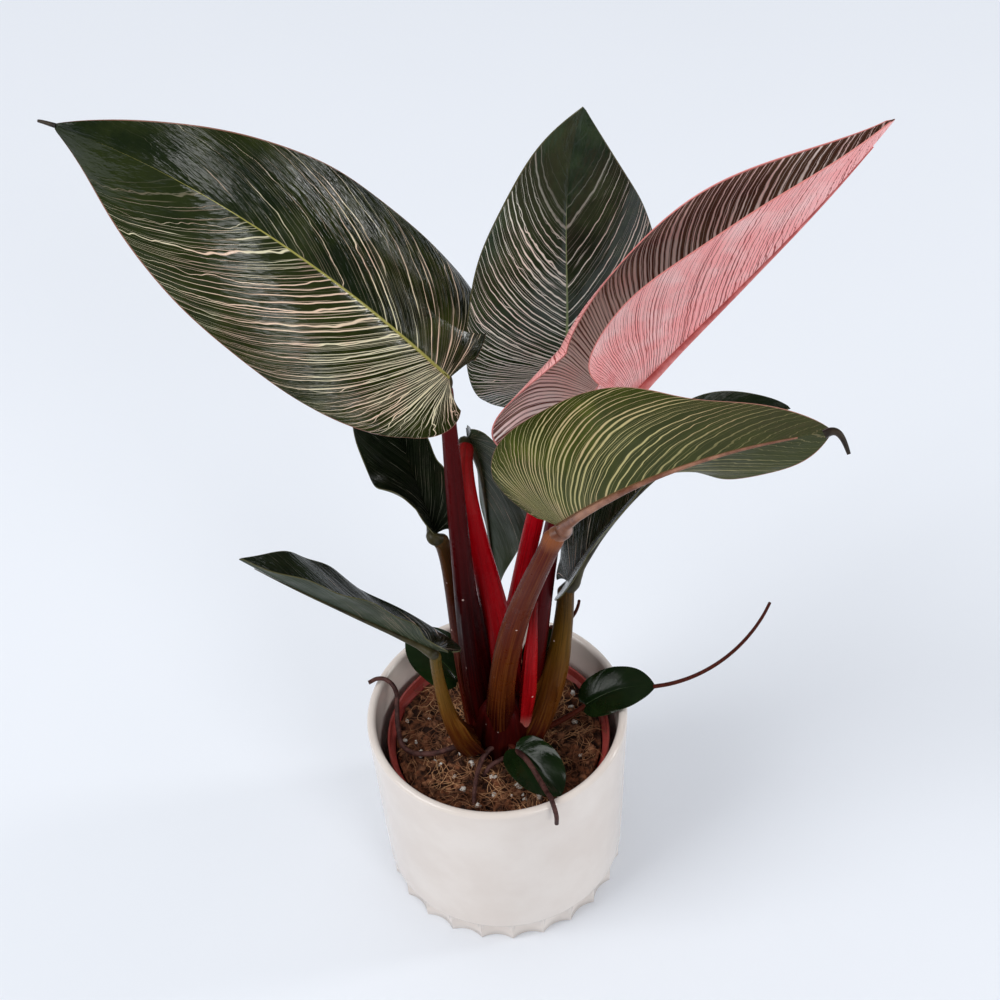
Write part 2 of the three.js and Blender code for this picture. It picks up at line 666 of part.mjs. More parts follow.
function soilTop() {
  const draw = seeded(2407);
  const within = ([least, most]) => least + (most - least) * draw();
  const edge = soilRadius(SOIL_LEVEL) - CRUMB_MARGIN;
  const somewhere = () => {
    const radius = CRUMB_START + (edge - CRUMB_START) * Math.sqrt(draw());
    const angle = within([0, 2 * Math.PI]);
    return [radius * Math.cos(angle), radius * Math.sin(angle)];
  };
  const pieces = [];
  for (let i = 0; i < PERLITE_GRAINS; i++) {
    const [x, y] = somewhere();
    const grain = new THREE.IcosahedronGeometry(within(PERLITE_RADIUS), 0);
    grain.rotateX(within([0, Math.PI])).rotateY(within([0, Math.PI])).translate(x, y, soilHeight(x, y));
    pieces.push(solidOf(grain));
  }
  for (let i = 0; i < BARK_CHIPS; i++) {
    const [x, y] = somewhere();
    const chip = new THREE.BoxGeometry(within(BARK_LENGTH), within(BARK_WIDTH), BARK_HEIGHT);
    chip.rotateX(within(BARK_TILT)).rotateZ(within([0, Math.PI])).translate(x, y, soilHeight(x, y));
    pieces.push(solidOf(chip));
  }
  for (let i = 0; i < FIBRES; i++) {
    const [x, y] = somewhere();
    const turn = within([0, 2 * Math.PI]);
    const reach = within(FIBRE_REACH);
    const points = [-1, 0, 1].map((s) => {
      const px = x + s * reach * Math.cos(turn);
      const py = y + s * reach * Math.sin(turn + FIBRE_TWIST * s);
      return new THREE.Vector3(px, py, soilHeight(px, py) + (s === 0 ? FIBRE_ARCH : -FIBRE_SINK));
    });
    if (points.every((p) => Math.hypot(p.x, p.y) < edge)) {
      pieces.push(stem(new THREE.CatmullRomCurve3(points), FIBRE_RADIUS, FIBRE_STEPS, FIBRE_SIDES));
    }
  }
  return pieces;
}

// Putting the pieces together
const plant = new THREE.Group();
const pots = new THREE.Group();

function addMesh(group, name, solid, material) {
  const mesh = new THREE.Mesh(geometryOf(solid), material);
  mesh.name = name;
  group.add(mesh);
  return mesh;
}

addMesh(pots, "cover_pot", coverPot(), GLAZE);
addMesh(pots, "nursery_pot", nurseryPot(), RED_PLASTIC).position.z = NURSERY_Z;

// Each piece is cut clear of the pieces before it, which are kept here a gap larger.
const neighbours = [];
const clearOf = (solid) => largestPiece(neighbours.reduce((rest, other) => rest.subtract(other), solid));

const crownCurve = bezier([
  [...CROWN, CROWN_BOTTOM],
  [...CROWN, CROWN_BOTTOM + CROWN_EASE],
  [...CROWN, CROWN_TOP - CROWN_EASE],
  [...CROWN, CROWN_TOP],
]);
const crown = (grow) => stem(crownCurve, CROWN_RADIUS, CROWN_STEPS, CROWN_SIDES, grow);
addMesh(plant, "crown", crown(0), BROWN_STALK);
neighbours.push(crown(GAP));

for (const leaf of LEAVES) {
  const parts = (grow) => {
    const ribRadii = [RIB_TO_STALK * leaf.radius.at(-1) + grow, RIB_END + grow];
    const solids = [blade(leaf, leaf.rows, leaf.columns, grow), rib(leaf, ribRadii)];
    if (leaf.tail) solids.push(stem(bezier(leaf.tail), TAIL_RADIUS, TAIL_STEPS, SMALL_SIDES, grow));
    return solids;
  };
  addMesh(plant, `${leaf.name}_blade`, clearOf(fused(parts(0))), leaf.look);
  neighbours.push(...parts(GAP));
}
for (const leaf of LEAVES) {
  const stalk = (grow) => stem(bezier(leaf.stalk), leaf.radius, STALK_STEPS, STALK_SIDES, grow);
  addMesh(plant, `${leaf.name}_stalk`, clearOf(stalk(0)), leaf.stalkLook);
  neighbours.push(stalk(GAP));
}

const sheath = (grow) => stem(bezier(SHEATH), SHEATH_RADIUS, SHEATH_STEPS, STALK_SIDES, grow);
addMesh(plant, "new_leaf_sheath", clearOf(sheath(0)), CRIMSON);
neighbours.push(sheath(GAP));

for (const leaf of SMALL_LEAVES) {
  const parts = (grow) => {
    const solids = [
      blade(leaf, SMALL_ROWS, SMALL_COLUMNS, grow),
      stem(bezier(leaf.stalk), SMALL_RADIUS, SMALL_STEPS, SMALL_SIDES, grow),
      rib(leaf, [SMALL_RADIUS[1] + grow, SMALL_RIB_END + grow]),
    ];
    if (leaf.thread) {
      solids.push(stem(bezier(leaf.thread), THREAD_RADIUS, THREAD_STEPS, THREAD_SIDES, grow));
    }
    return solids;
  };
  addMesh(plant, leaf.name, clearOf(fused(parts(0))), DARK_LEAF);
  neighbours.push(...parts(GAP));
}

for (const [name, points] of Object.entries(AERIAL_ROOTS)) {
  const curve = new THREE.CatmullRomCurve3(points.map(vector));
  const root = (grow) => stem(curve, ROOT_RADIUS, 2 * points.length, ROOT_SIDES, grow);
  addMesh(plant, name, clearOf(root(0)), ROOT);
  neighbours.push(root(GAP));
}

addMesh(plant, "soil", clearOf(fused([soilPlug(), ...soilTop()])), SOIL);

const pottedPlant = new THREE.Group();
pottedPlant.add(pots, plant);

export default pottedPlant;
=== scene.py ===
# %% [markdown]
# A potted philodendron with pin-striped leaves. It is a young house plant in a thin red nursery pot, which
# stands in a white glazed cover pot with a fluted foot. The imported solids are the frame: every piece below
# stands where a solid stands, and gives it the finer shape and the finish of the real thing.

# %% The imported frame
import math
import random

import bpy
import numpy as np
from mathutils import Matrix, Vector


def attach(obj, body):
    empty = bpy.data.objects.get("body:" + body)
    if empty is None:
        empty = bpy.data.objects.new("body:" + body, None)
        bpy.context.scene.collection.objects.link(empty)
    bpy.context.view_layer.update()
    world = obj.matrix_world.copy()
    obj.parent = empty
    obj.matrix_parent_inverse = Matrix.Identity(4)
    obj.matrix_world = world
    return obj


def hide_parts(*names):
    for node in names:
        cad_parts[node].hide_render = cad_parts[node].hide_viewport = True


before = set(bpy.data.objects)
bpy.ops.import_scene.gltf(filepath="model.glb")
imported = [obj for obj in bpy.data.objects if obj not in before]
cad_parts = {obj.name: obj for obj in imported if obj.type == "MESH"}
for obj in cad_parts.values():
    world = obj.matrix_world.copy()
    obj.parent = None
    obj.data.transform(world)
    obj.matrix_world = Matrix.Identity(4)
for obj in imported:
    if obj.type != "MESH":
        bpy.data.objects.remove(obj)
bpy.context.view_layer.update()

MM = 0.001

# %% [markdown]
# The camera comes first, because every later choice is judged through it. It stands where the photographer
# stood: above the plant and in front of it, looking down at the pot, with the lens of a phone held a little
# crooked. An aimed camera would do for a still life, but a leaf's outline shifts with a degree of tilt, so
# each angle is set by itself.

# %% Camera
LENS = 54
SENSOR = 36
CAMERA_DISTANCE = 779 * MM
CAMERA_RISE = math.radians(50.7)
AIM_HEIGHT = 115 * MM
LOOK_DOWN = math.radians(42.8)
LOOK_RIGHT = math.radians(0.93)
ROLL = math.radians(-3.4)
CLIP_END = 50

reach = math.cos(LOOK_DOWN)
forward = Vector((math.sin(LOOK_RIGHT) * reach, math.cos(LOOK_RIGHT) * reach, -math.sin(LOOK_DOWN)))
level = forward.cross(Vector((0, 0, 1))).normalized()
upright = level.cross(forward)
right = math.cos(ROLL) * level + math.sin(ROLL) * upright
up = math.cos(ROLL) * upright - math.sin(ROLL) * level

bpy.ops.object.camera_add()
camera = bpy.context.object
camera.name = "camera"
camera.data.lens = LENS
camera.data.sensor_width = SENSOR
back = CAMERA_DISTANCE * math.cos(CAMERA_RISE)
above = CAMERA_DISTANCE * math.sin(CAMERA_RISE)
place = Vector((0, -back, AIM_HEIGHT + above))
camera.matrix_world = Matrix.Translation(place) @ Matrix((right, up, -forward)).transposed().to_4x4()
camera.data.clip_end = CLIP_END
bpy.context.scene.camera = camera
print("camera at", [round(1000 * c) for c in place], "mm")

# %% [markdown]
# ## Helpers
# A few small helpers come back all through the lesson. One selects a single piece, because an operator acts
# on all that is selected. Others apply its modifiers, weld its seams, smooth its shading or join it to more
# pieces. The last hands a finished piece to the frame: it rides on the body and stands for its solid.

# %% Helpers for pieces
def only(piece):
    """Selects this piece alone and makes it the active one."""
    bpy.ops.object.select_all(action="DESELECT")
    piece.select_set(True)
    bpy.context.view_layer.objects.active = piece


def apply_modifiers(piece):
    only(piece)
    for modifier in list(piece.modifiers):
        bpy.ops.object.modifier_apply(modifier=modifier.name)


SAME_PLACE = 0.002


def weld(piece, outward=False):
    """Merges the points that share a place, and turns the faces outwards if asked."""
    only(piece)
    bpy.ops.object.mode_set(mode="EDIT")
    bpy.ops.mesh.select_all(action="SELECT")
    bpy.ops.mesh.remove_doubles(threshold=SAME_PLACE * MM)
    if outward:
        bpy.ops.mesh.normals_make_consistent(inside=False)
    bpy.ops.object.mode_set(mode="OBJECT")


def smooth(piece, angle):
    only(piece)
    bpy.ops.object.shade_smooth_by_angle(angle=math.radians(angle))


def join(pieces, name):
    """Makes one piece of several, under a new name."""
    bpy.ops.object.select_all(action="DESELECT")
    for piece in pieces:
        piece.select_set(True)
    bpy.context.view_layer.objects.active = pieces[0]
    bpy.ops.object.join()
    pieces[0].name = pieces[0].data.name = name
    return pieces[0]


def hand_over(piece, solid):
    """The piece stands for this solid of the frame."""
    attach(piece, "root")
    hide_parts(solid)
    faces = sum(len(face.vertices) - 2 for face in piece.data.polygons)
    print(f"{piece.name}: {faces} triangles for {solid}")


# %% [markdown]
# A leaf or a stalk is a sheet that grew along a line. Blender's grid is such a sheet, laid flat. Its points
# are moved to their places by a rule, which gets two numbers for each point: how far across the grid it
# lies, from -1 to 1, and how far along, from 0 to 1. The same two numbers become its UV map, so that a
# stripe can later follow a vein. Moving points by hand would give the same shape, but two leaves would
# never match their solids.

# %% A grid that is bent by a rule
def bent_grid(name, across_steps, along_steps, rule, crowd=1.0):
    """A grid whose points go where the rule says, in millimetres. A crowd over 1 draws them to the middle."""
    bpy.ops.object.select_all(action="DESELECT")
    bpy.ops.mesh.primitive_grid_add(x_subdivisions=across_steps, y_subdivisions=along_steps, size=2)
    piece = bpy.context.object
    piece.name = piece.data.name = name
    flat = np.empty(3 * len(piece.data.vertices))
    piece.data.vertices.foreach_get("co", flat)
    across = np.sign(flat[0::3].round(6)) * np.abs(flat[0::3]) ** crowd
    along = (flat[1::3] + 1) / 2
    piece.data.vertices.foreach_set("co", (rule(across, along) * MM).ravel())
    corners = np.empty(len(piece.data.loops), dtype=np.int32)
    piece.data.loops.foreach_get("vertex_index", corners)
    uv = np.stack([(1 + across[corners]) / 2, along[corners]], axis=1)
    piece.data.uv_layers.active.data.foreach_set("uv", uv.ravel())
    piece.data.update()
    return piece


# %% [markdown]
# The lines themselves are curves through a few control points. Neighbouring points are blended again and
# again until one is left, and a dense row of such points is then walked at an even pace.

# %% Curves
FINE = np.linspace(0, 1, 240)


def curve_point(controls, t):
    """Blends neighbouring control points until one is left."""
    t = np.asarray(t)[:, None]
    level = [np.asarray(c, dtype=float) for c in controls]
    while len(level) > 1:
        level = [a + (b - a) * t for a, b in zip(level, level[1:])]
    return level[0]


def pace(points):
    """The length of a row of points, and the share of it that is walked at each."""
    walked = np.concatenate([[0], np.cumsum(np.linalg.norm(np.diff(points, axis=0), axis=1))])
    return walked[-1], walked / walked[-1]


def at_share(points, share, wanted):
    return np.stack([np.interp(wanted, share, column) for column in points.T], axis=-1)


def unit(vectors):
    return vectors / np.linalg.norm(vectors, axis=-1, keepdims=True)


# %% [markdown]
# ## The cover pot
# A stoneware cover pot is thrown or slip-cast, so it is the same all the way round, and only its foot is
# carved. It could be spun from a profile, or built up from a ring. Here a circle is extruded again and
# again, and each new ring is scaled and lifted, as clay is pulled up on a wheel. That keeps every ring at
# hand for the flutes.

# %% Turning a pot from a ring
NEAR_AXIS = 0.01


def turned(name, sides, profile):
    """A ring at the first (radius, height), drawn on through the rest. Radii of 0 close it."""
    bpy.ops.object.select_all(action="DESELECT")
    radius, height = max(profile[0][0], NEAR_AXIS), profile[0][1]
    bpy.ops.mesh.primitive_circle_add(vertices=sides, radius=radius * MM, location=(0, 0, height * MM))
    piece = bpy.context.object
    piece.name = piece.data.name = name
    bpy.ops.object.transform_apply(location=True, rotation=True, scale=True)
    bpy.ops.object.mode_set(mode="EDIT")
    bpy.ops.mesh.select_all(action="SELECT")
    for new_radius, new_height in profile[1:]:
        lift = (0, 0, (new_height - height) * MM)
        bpy.ops.mesh.extrude_region_move(TRANSFORM_OT_translate={"value": lift})
        scale = max(new_radius, NEAR_AXIS) / radius
        bpy.ops.transform.resize(value=(scale, scale, 1), center_override=(0, 0, new_height * MM))
        radius, height = max(new_radius, NEAR_AXIS), new_height
    bpy.ops.mesh.select_all(action="SELECT")
    bpy.ops.mesh.remove_doubles(threshold=2 * NEAR_AXIS * MM)
    bpy.ops.mesh.normals_make_consistent(inside=False)
    bpy.ops.object.mode_set(mode="OBJECT")
    return piece


def arc(centre, radius, start, end, steps):
    """Points of a (radius, height) profile on an arc, its angles in degrees."""
    angles = np.radians(np.linspace(start, end, steps + 1))
    return [(centre[0] + radius * math.cos(a), centre[1] + radius * math.sin(a)) for a in angles]


# %% [markdown]
# The pot is 134 mm across its rounded lip and narrows a little to its foot. The flutes could be cut one by
# one, but they repeat 24 times, so a rule draws the points of the foot's outer rings in between the ridges.
# The rest of the wall is left plain.

# %% Cover pot
POT_RADIUS = 67
POT_HEIGHT = 115
POT_WALL = 4.5
POT_FLOOR = 6
WALL_FOOT_RADIUS = 64.7
FOOT_HEIGHT = 12.5
FOOT_RADIUS = 64
FLUTES = 24
FLUTE_DEPTH = 3
RECESS = 1.6
POT_SIDES = FLUTES * 12

lip = POT_WALL / 2
inner = POT_RADIUS - POT_WALL
inner_foot = WALL_FOOT_RADIUS - POT_WALL
pot_profile = [(0, POT_FLOOR), (inner_foot - 12, POT_FLOOR), (inner_foot - 6, POT_FLOOR)]
pot_profile += arc((inner_foot - 5, POT_FLOOR + 5), 5, -90, 0, 5)
pot_profile += [(inner_foot + 0.6, 30), (inner - 0.9, 70)]
pot_profile += arc((inner + lip, POT_HEIGHT - lip), lip, 180, 0, 14)
pot_profile += [(POT_RADIUS - 0.5, 90), (WALL_FOOT_RADIUS + 0.7, 40), (WALL_FOOT_RADIUS + 0.1, 20)]
pot_profile += arc((WALL_FOOT_RADIUS - 2, FOOT_HEIGHT + 2), 2, 0, -60, 4)
pot_profile += [(FOOT_RADIUS, FOOT_HEIGHT - 0.6), (FOOT_RADIUS, 6), (FOOT_RADIUS, 0.6)]
pot_profile += [(FOOT_RADIUS - 0.5, 0), (FOOT_RADIUS - 8, 0)]
pot_profile += [(FOOT_RADIUS - 9, RECESS), (20, RECESS), (0, RECESS)]
pot = turned("glazed_cover_pot", POT_SIDES, pot_profile)
print("cover pot:", len(pot_profile), "rings of", POT_SIDES, "points")


def carve_flutes(piece):
    """Draws the foot's outer ring inwards between its ridges."""
    for vertex in piece.data.vertices:
        radius = math.hypot(vertex.co.x, vertex.co.y) / MM
        if vertex.co.z / MM < FOOT_HEIGHT and radius > FOOT_RADIUS - 1:
            turn = (math.atan2(vertex.co.y, vertex.co.x) / (2 * math.pi) * FLUTES) % 1
            across = 2 * turn - 1
            wanted = radius - FLUTE_DEPTH * (1 - across * across)
            vertex.co.x *= wanted / radius
            vertex.co.y *= wanted / radius


carve_flutes(pot)
smooth(pot, 40)
hand_over(pot, "cover_pot")

# %% [markdown]
# ## The nursery pot
# The plant grows in a thin plastic pot with a flared rim and drain holes. It is turned like the cover pot,
# from a profile that runs up the outside, over the rim and down the inside, and the holes are cut with a
# Boolean, as a drill would. A skin with a Solidify modifier would be shorter to write, but its rim would end
# in a square edge.

# %% Nursery pot
GAP = 0.3
NURSERY_Z = POT_FLOOR + GAP
NURSERY_RIM_RADIUS = 58
NURSERY_BASE_RADIUS = 47
NURSERY_HEIGHT = 91
NURSERY_WALL = 1.2
NURSERY_LIP = 2.4
NURSERY_LIP_HEIGHT = 7
DRAIN_HOLES = 6
DRAIN_RADIUS = 4
DRAIN_CIRCLE = 30
NURSERY_SIDES = 96

rim_under = NURSERY_HEIGHT - NURSERY_LIP_HEIGHT
wall_top = NURSERY_RIM_RADIUS - NURSERY_LIP
nursery_profile = [(0, 0), (NURSERY_BASE_RADIUS - 6, 0)]
nursery_profile += arc((NURSERY_BASE_RADIUS - 2, 2), 2, -90, 0, 4)
rim_inside = NURSERY_RIM_RADIUS - NURSERY_WALL
nursery_profile += [(wall_top, rim_under - 1), (NURSERY_RIM_RADIUS, rim_under)]
nursery_profile += [(NURSERY_RIM_RADIUS, NURSERY_HEIGHT - 0.5), (NURSERY_RIM_RADIUS - 0.4, NURSERY_HEIGHT)]
nursery_profile += [(NURSERY_RIM_RADIUS - 0.8, NURSERY_HEIGHT), (rim_inside, NURSERY_HEIGHT - 0.5)]
nursery_profile += [(rim_inside, rim_under + NURSERY_WALL), (wall_top - NURSERY_WALL, rim_under)]
nursery_profile += [(NURSERY_BASE_RADIUS - NURSERY_WALL, NURSERY_WALL + 2)]
nursery_profile += [(NURSERY_BASE_RADIUS - 3, NURSERY_WALL), (0, NURSERY_WALL)]
nursery = turned("nursery_pot_skin", NURSERY_SIDES, [(r, h + NURSERY_Z) for r, h in nursery_profile])


def drill(piece, x, y):
    """Cuts a round hole through the floor of a pot."""
    bpy.ops.object.select_all(action="DESELECT")
    bpy.ops.mesh.primitive_cylinder_add(
        vertices=24, radius=DRAIN_RADIUS * MM, depth=5 * MM, location=(x * MM, y * MM, NURSERY_Z * MM))
    bit = bpy.context.object
    cut = piece.modifiers.new("drain hole", "BOOLEAN")
    cut.operation = "DIFFERENCE"
    cut.object = bit
    apply_modifiers(piece)
    bpy.data.objects.remove(bit)


for hole in range(DRAIN_HOLES):
    turn = 2 * math.pi * hole / DRAIN_HOLES
    drill(nursery, DRAIN_CIRCLE * math.cos(turn), DRAIN_CIRCLE * math.sin(turn))
print(DRAIN_HOLES, "drain holes")
smooth(nursery, 35)
hand_over(nursery, "nursery_pot")

# %% [markdown]
# ## The soil
# Peat has no shape of its own. It fills the pot with small lumps, and on top lie white perlite, bark chips
# and many curled coir fibres. The ground is a round grid whose height follows the solid's gentle waves,
# with a Displace modifier for the lumps. Each kind of crumb is modelled once and strewn as copies, from a
# seeded draw, so that every run gives the same pot.

# %% Ground
SOIL_LEVEL = 91.5
SOIL_GAP = 3 * GAP
SOIL_WAVES = [(1.1, 0.21, 0.17, 1.3), (0.8, 0.43, -0.31, 0), (0.5, 0.29, 0.6, 1.6)]
MOUND_HEIGHT = 2.5
MOUND_SPREAD = 22
CROWN = (3, 2)


def soil_height(x, y):
    """The height of the soil in millimetres: gentle waves, and a mound round the crown."""
    from_crown = np.hypot(x - CROWN[0], y - CROWN[1]) / MOUND_SPREAD
    height = SOIL_LEVEL + MOUND_HEIGHT * np.exp(-(from_crown**2))
    for swing, along_x, along_y, start in SOIL_WAVES:
        height = height + swing * np.sin(along_x * x + along_y * y + start)
    return height


def soil_radius(z):
    """The radius of the soil at this height, a gap inside the nursery pot."""
    share = (z - NURSERY_Z) / rim_under
    return NURSERY_BASE_RADIUS + (wall_top - NURSERY_BASE_RADIUS) * share - NURSERY_WALL - SOIL_GAP


soil_edge = soil_radius(SOIL_LEVEL)
SOIL_TURN_SHARE = 0.86


def soil_rule(across, along):
    """The grid goes round the pot, and along it runs from the middle out and then down the side."""
    angle = math.pi * across
    top = np.minimum(along / SOIL_TURN_SHARE, 1)
    down = np.maximum(along - SOIL_TURN_SHARE, 0) / (1 - SOIL_TURN_SHARE)
    bottom = NURSERY_Z + NURSERY_WALL + GAP
    level = soil_height(soil_edge * top * np.cos(angle), soil_edge * top * np.sin(angle))
    height = level + (bottom - level) * down
    radius = soil_edge * top + (soil_radius(bottom) - soil_edge) * down
    radius = np.where(along > 0.999, 0, radius)
    return np.stack([radius * np.cos(angle), radius * np.sin(angle), height], axis=1)


LUMP_SIZE = 4.5
SOIL_TOP = 86

ground = bent_grid("soil_ground", 220, 100, soil_rule)
weld(ground, outward=True)
lumps = bpy.data.textures.new("lumps", "CLOUDS")
lumps.noise_scale = LUMP_SIZE * MM
lumps.noise_depth = 3
top_only = ground.vertex_groups.new(name="top")
top_only.add([v.index for v in ground.data.vertices if v.co.z > SOIL_TOP * MM], 1.0, "REPLACE")
swell = ground.modifiers.new("lumps", "DISPLACE")
swell.texture = lumps
swell.texture_coords = "LOCAL"
swell.vertex_group = "top"
swell.direction = "Z"
swell.strength = LUMP_SIZE * MM
swell.mid_level = 0.5
apply_modifiers(ground)
ground.vertex_groups.clear()
smooth(ground, 180)
print("soil:", len(ground.data.polygons), "faces")


# %% [markdown]
# Perlite and peat crumbs lie half sunk. A crumb is a low icosphere whose points are drawn in and out, so
# that it is a lump and not a ball. It has few faces, because there are hundreds of copies.

# %% Crumbs that are strewn on the ground
def strewn(template, count, seed, least, most, size, sink=0.0, tilt=0.5):
    """Copies of a template on the ground between two radii, each turned and sized by a draw."""
    draw = random.Random(seed)
    copies = []
    while len(copies) < count:
        radius = math.sqrt(draw.uniform(least**2, most**2))
        angle = draw.uniform(0, 2 * math.pi)
        x = radius * math.cos(angle)
        y = radius * math.sin(angle)
        z = float(soil_height(np.array(x), np.array(y))) - sink
        copy = template.copy()
        copy.data = template.data.copy()
        bpy.context.scene.collection.objects.link(copy)
        turn = Matrix.Rotation(draw.uniform(0, 2 * math.pi), 4, "Z")
        lean = Matrix.Rotation(draw.gauss(0, tilt), 4, "X") @ Matrix.Rotation(draw.gauss(0, tilt), 4, "Y")
        grown = Matrix.Diagonal([draw.uniform(*size) for _ in range(3)] + [1])
        copy.data.transform(Matrix.Translation((x * MM, y * MM, z * MM)) @ turn @ lean @ grown)
        copies.append(copy)
    bpy.data.objects.remove(template)
    return copies


def crumb(radius, roughness, seed):
    """A rough grain: an icosphere whose points are drawn in and out."""
    bpy.ops.object.select_all(action="DESELECT")
    bpy.ops.mesh.primitive_ico_sphere_add(subdivisions=2, radius=radius * MM)
    lump = bpy.context.object
    draw = random.Random(seed)
    for vertex in lump.data.vertices:
        vertex.co *= 1 + draw.uniform(-roughness, roughness)
    bpy.ops.object.shade_smooth()
    return lump


perlite = strewn(crumb(1.5, 0.22, 1), 52, 11, 18, soil_edge - 3, (0.4, 1.3), sink=-0.5)
peat = strewn(crumb(1.7, 0.3, 2), 230, 12, 8, soil_edge - 2, (0.5, 1.5), sink=-0.1)
print(len(perlite), "grains of perlite and", len(peat), "crumbs of peat")


# %% [markdown]
# A bark chip is a flat splinter with worn edges. It starts as a block of the chip's size, is cut once each
# way, drawn out of true, and bevelled.

# %% Bark chips
CHIP_SIZE = (6.5, 3, 1.3)
CHIP_BEVEL = 0.25


def bark_chip():
    """A flat splinter: a block whose points are drawn out of true, then bevelled."""
    bpy.ops.object.select_all(action="DESELECT")
    bpy.ops.mesh.primitive_cube_add(size=1)
    chip = bpy.context.object
    chip.data.transform(Matrix.Diagonal([side * MM for side in CHIP_SIZE] + [1]))
    bpy.ops.object.mode_set(mode="EDIT")
    bpy.ops.mesh.select_all(action="SELECT")
    bpy.ops.mesh.subdivide(number_cuts=1)
    bpy.ops.object.mode_set(mode="OBJECT")
    draw = random.Random(5)
    for vertex in chip.data.vertices:
        vertex.co.y *= draw.uniform(0.55, 1.1)
        vertex.co.z *= draw.uniform(0.6, 1.3)
        vertex.co.x += draw.uniform(-0.7, 0.7) * MM
    bevel = chip.modifiers.new("worn edges", "BEVEL")
    bevel.width = CHIP_BEVEL * MM
    bevel.segments = 1
    apply_modifiers(chip)
    return chip


chips = strewn(bark_chip(), 20, 13, 20, soil_edge - 5, (0.6, 1.2), sink=-0.7, tilt=0.3)


# %% [markdown]
# Coir is the hair of coconut husks: long, curled and springy. Each fibre is a curve with a thin bevel,
# drawn in six kinds, and then copied. Real hair curves would be lighter, but they would not survive as a
# mesh.

# %% Coir fibres
def rounded_line(name, points, radii, roundness, between):
    """A round thread through these points, in millimetres, with a radius at each."""
    bpy.ops.object.select_all(action="DESELECT")
    bpy.ops.curve.primitive_bezier_curve_add()
    thread = bpy.context.object
    thread.name = name
    line = thread.data.splines[0]
    line.bezier_points.add(len(points) - len(line.bezier_points))
    for knot, point, radius in zip(line.bezier_points, points, radii):
        knot.co = Vector(point) * MM
        knot.radius = radius
        knot.handle_left_type = knot.handle_right_type = "AUTO"
    thread.data.resolution_u = between
    thread.data.bevel_depth = 1 * MM
    thread.data.bevel_resolution = roundness
    thread.data.use_fill_caps = True
    bpy.ops.object.convert(target="MESH")
    return bpy.context.object


FIBRE_RADII = [0.1, 0.16, 0.18, 0.14, 0.08]
FIBRE_ARCH = 1.7
FIBRE_KINDS = [(21, 12), (22, 17), (23, 9), (24, 22), (25, 14), (26, 7)]


def fibre(seed, length):
    """A curled hair of coir that starts and ends in the ground."""
    draw = random.Random(seed)
    points = []
    for step in range(5):
        x = length * (step / 4 - 0.5)
        arch = FIBRE_ARCH * math.sin(math.pi * step / 4)
        points.append((x, draw.gauss(0, 0.13 * length), arch + draw.uniform(-0.4, 0.5)))
    return rounded_line("fibre", points, FIBRE_RADII, roundness=0, between=3)


fibres = []
for kind, (seed, length) in enumerate(FIBRE_KINDS):
    fibres += strewn(fibre(seed, length), 84, 30 + kind, 17, soil_edge - 4, (0.8, 1.3), sink=-0.3, tilt=0.16)
print(len(chips), "bark chips and", len(fibres), "fibres")

# %% [markdown]
# ## Blades
# Each grown leaf is a heart-shaped blade, folded along its midrib and curled in its own way. Half a blade
# is drawn flat first: a margin of two curves, from the notch at the stalk round the lobe to the tip. Side
# veins join the midrib to the margin. The flat half is then folded up from the midrib and rolled on.
# Sculpting could make one such leaf, but here the veins have to run true, because the stripes follow them.

# %% The leaves, in millimetres
# A half: its width, then how far the lobe drops, where it is widest and how full the tip is, as shares.
# Then the fold at the base and the tip and the curl at the base and the tip, in degrees.
def half(width, lobe, wide, tip, fold, curl=(0, 0)):
    return {"width": width, "lobe": lobe, "wide": wide, "tip": tip, "fold": fold, "curl": curl}


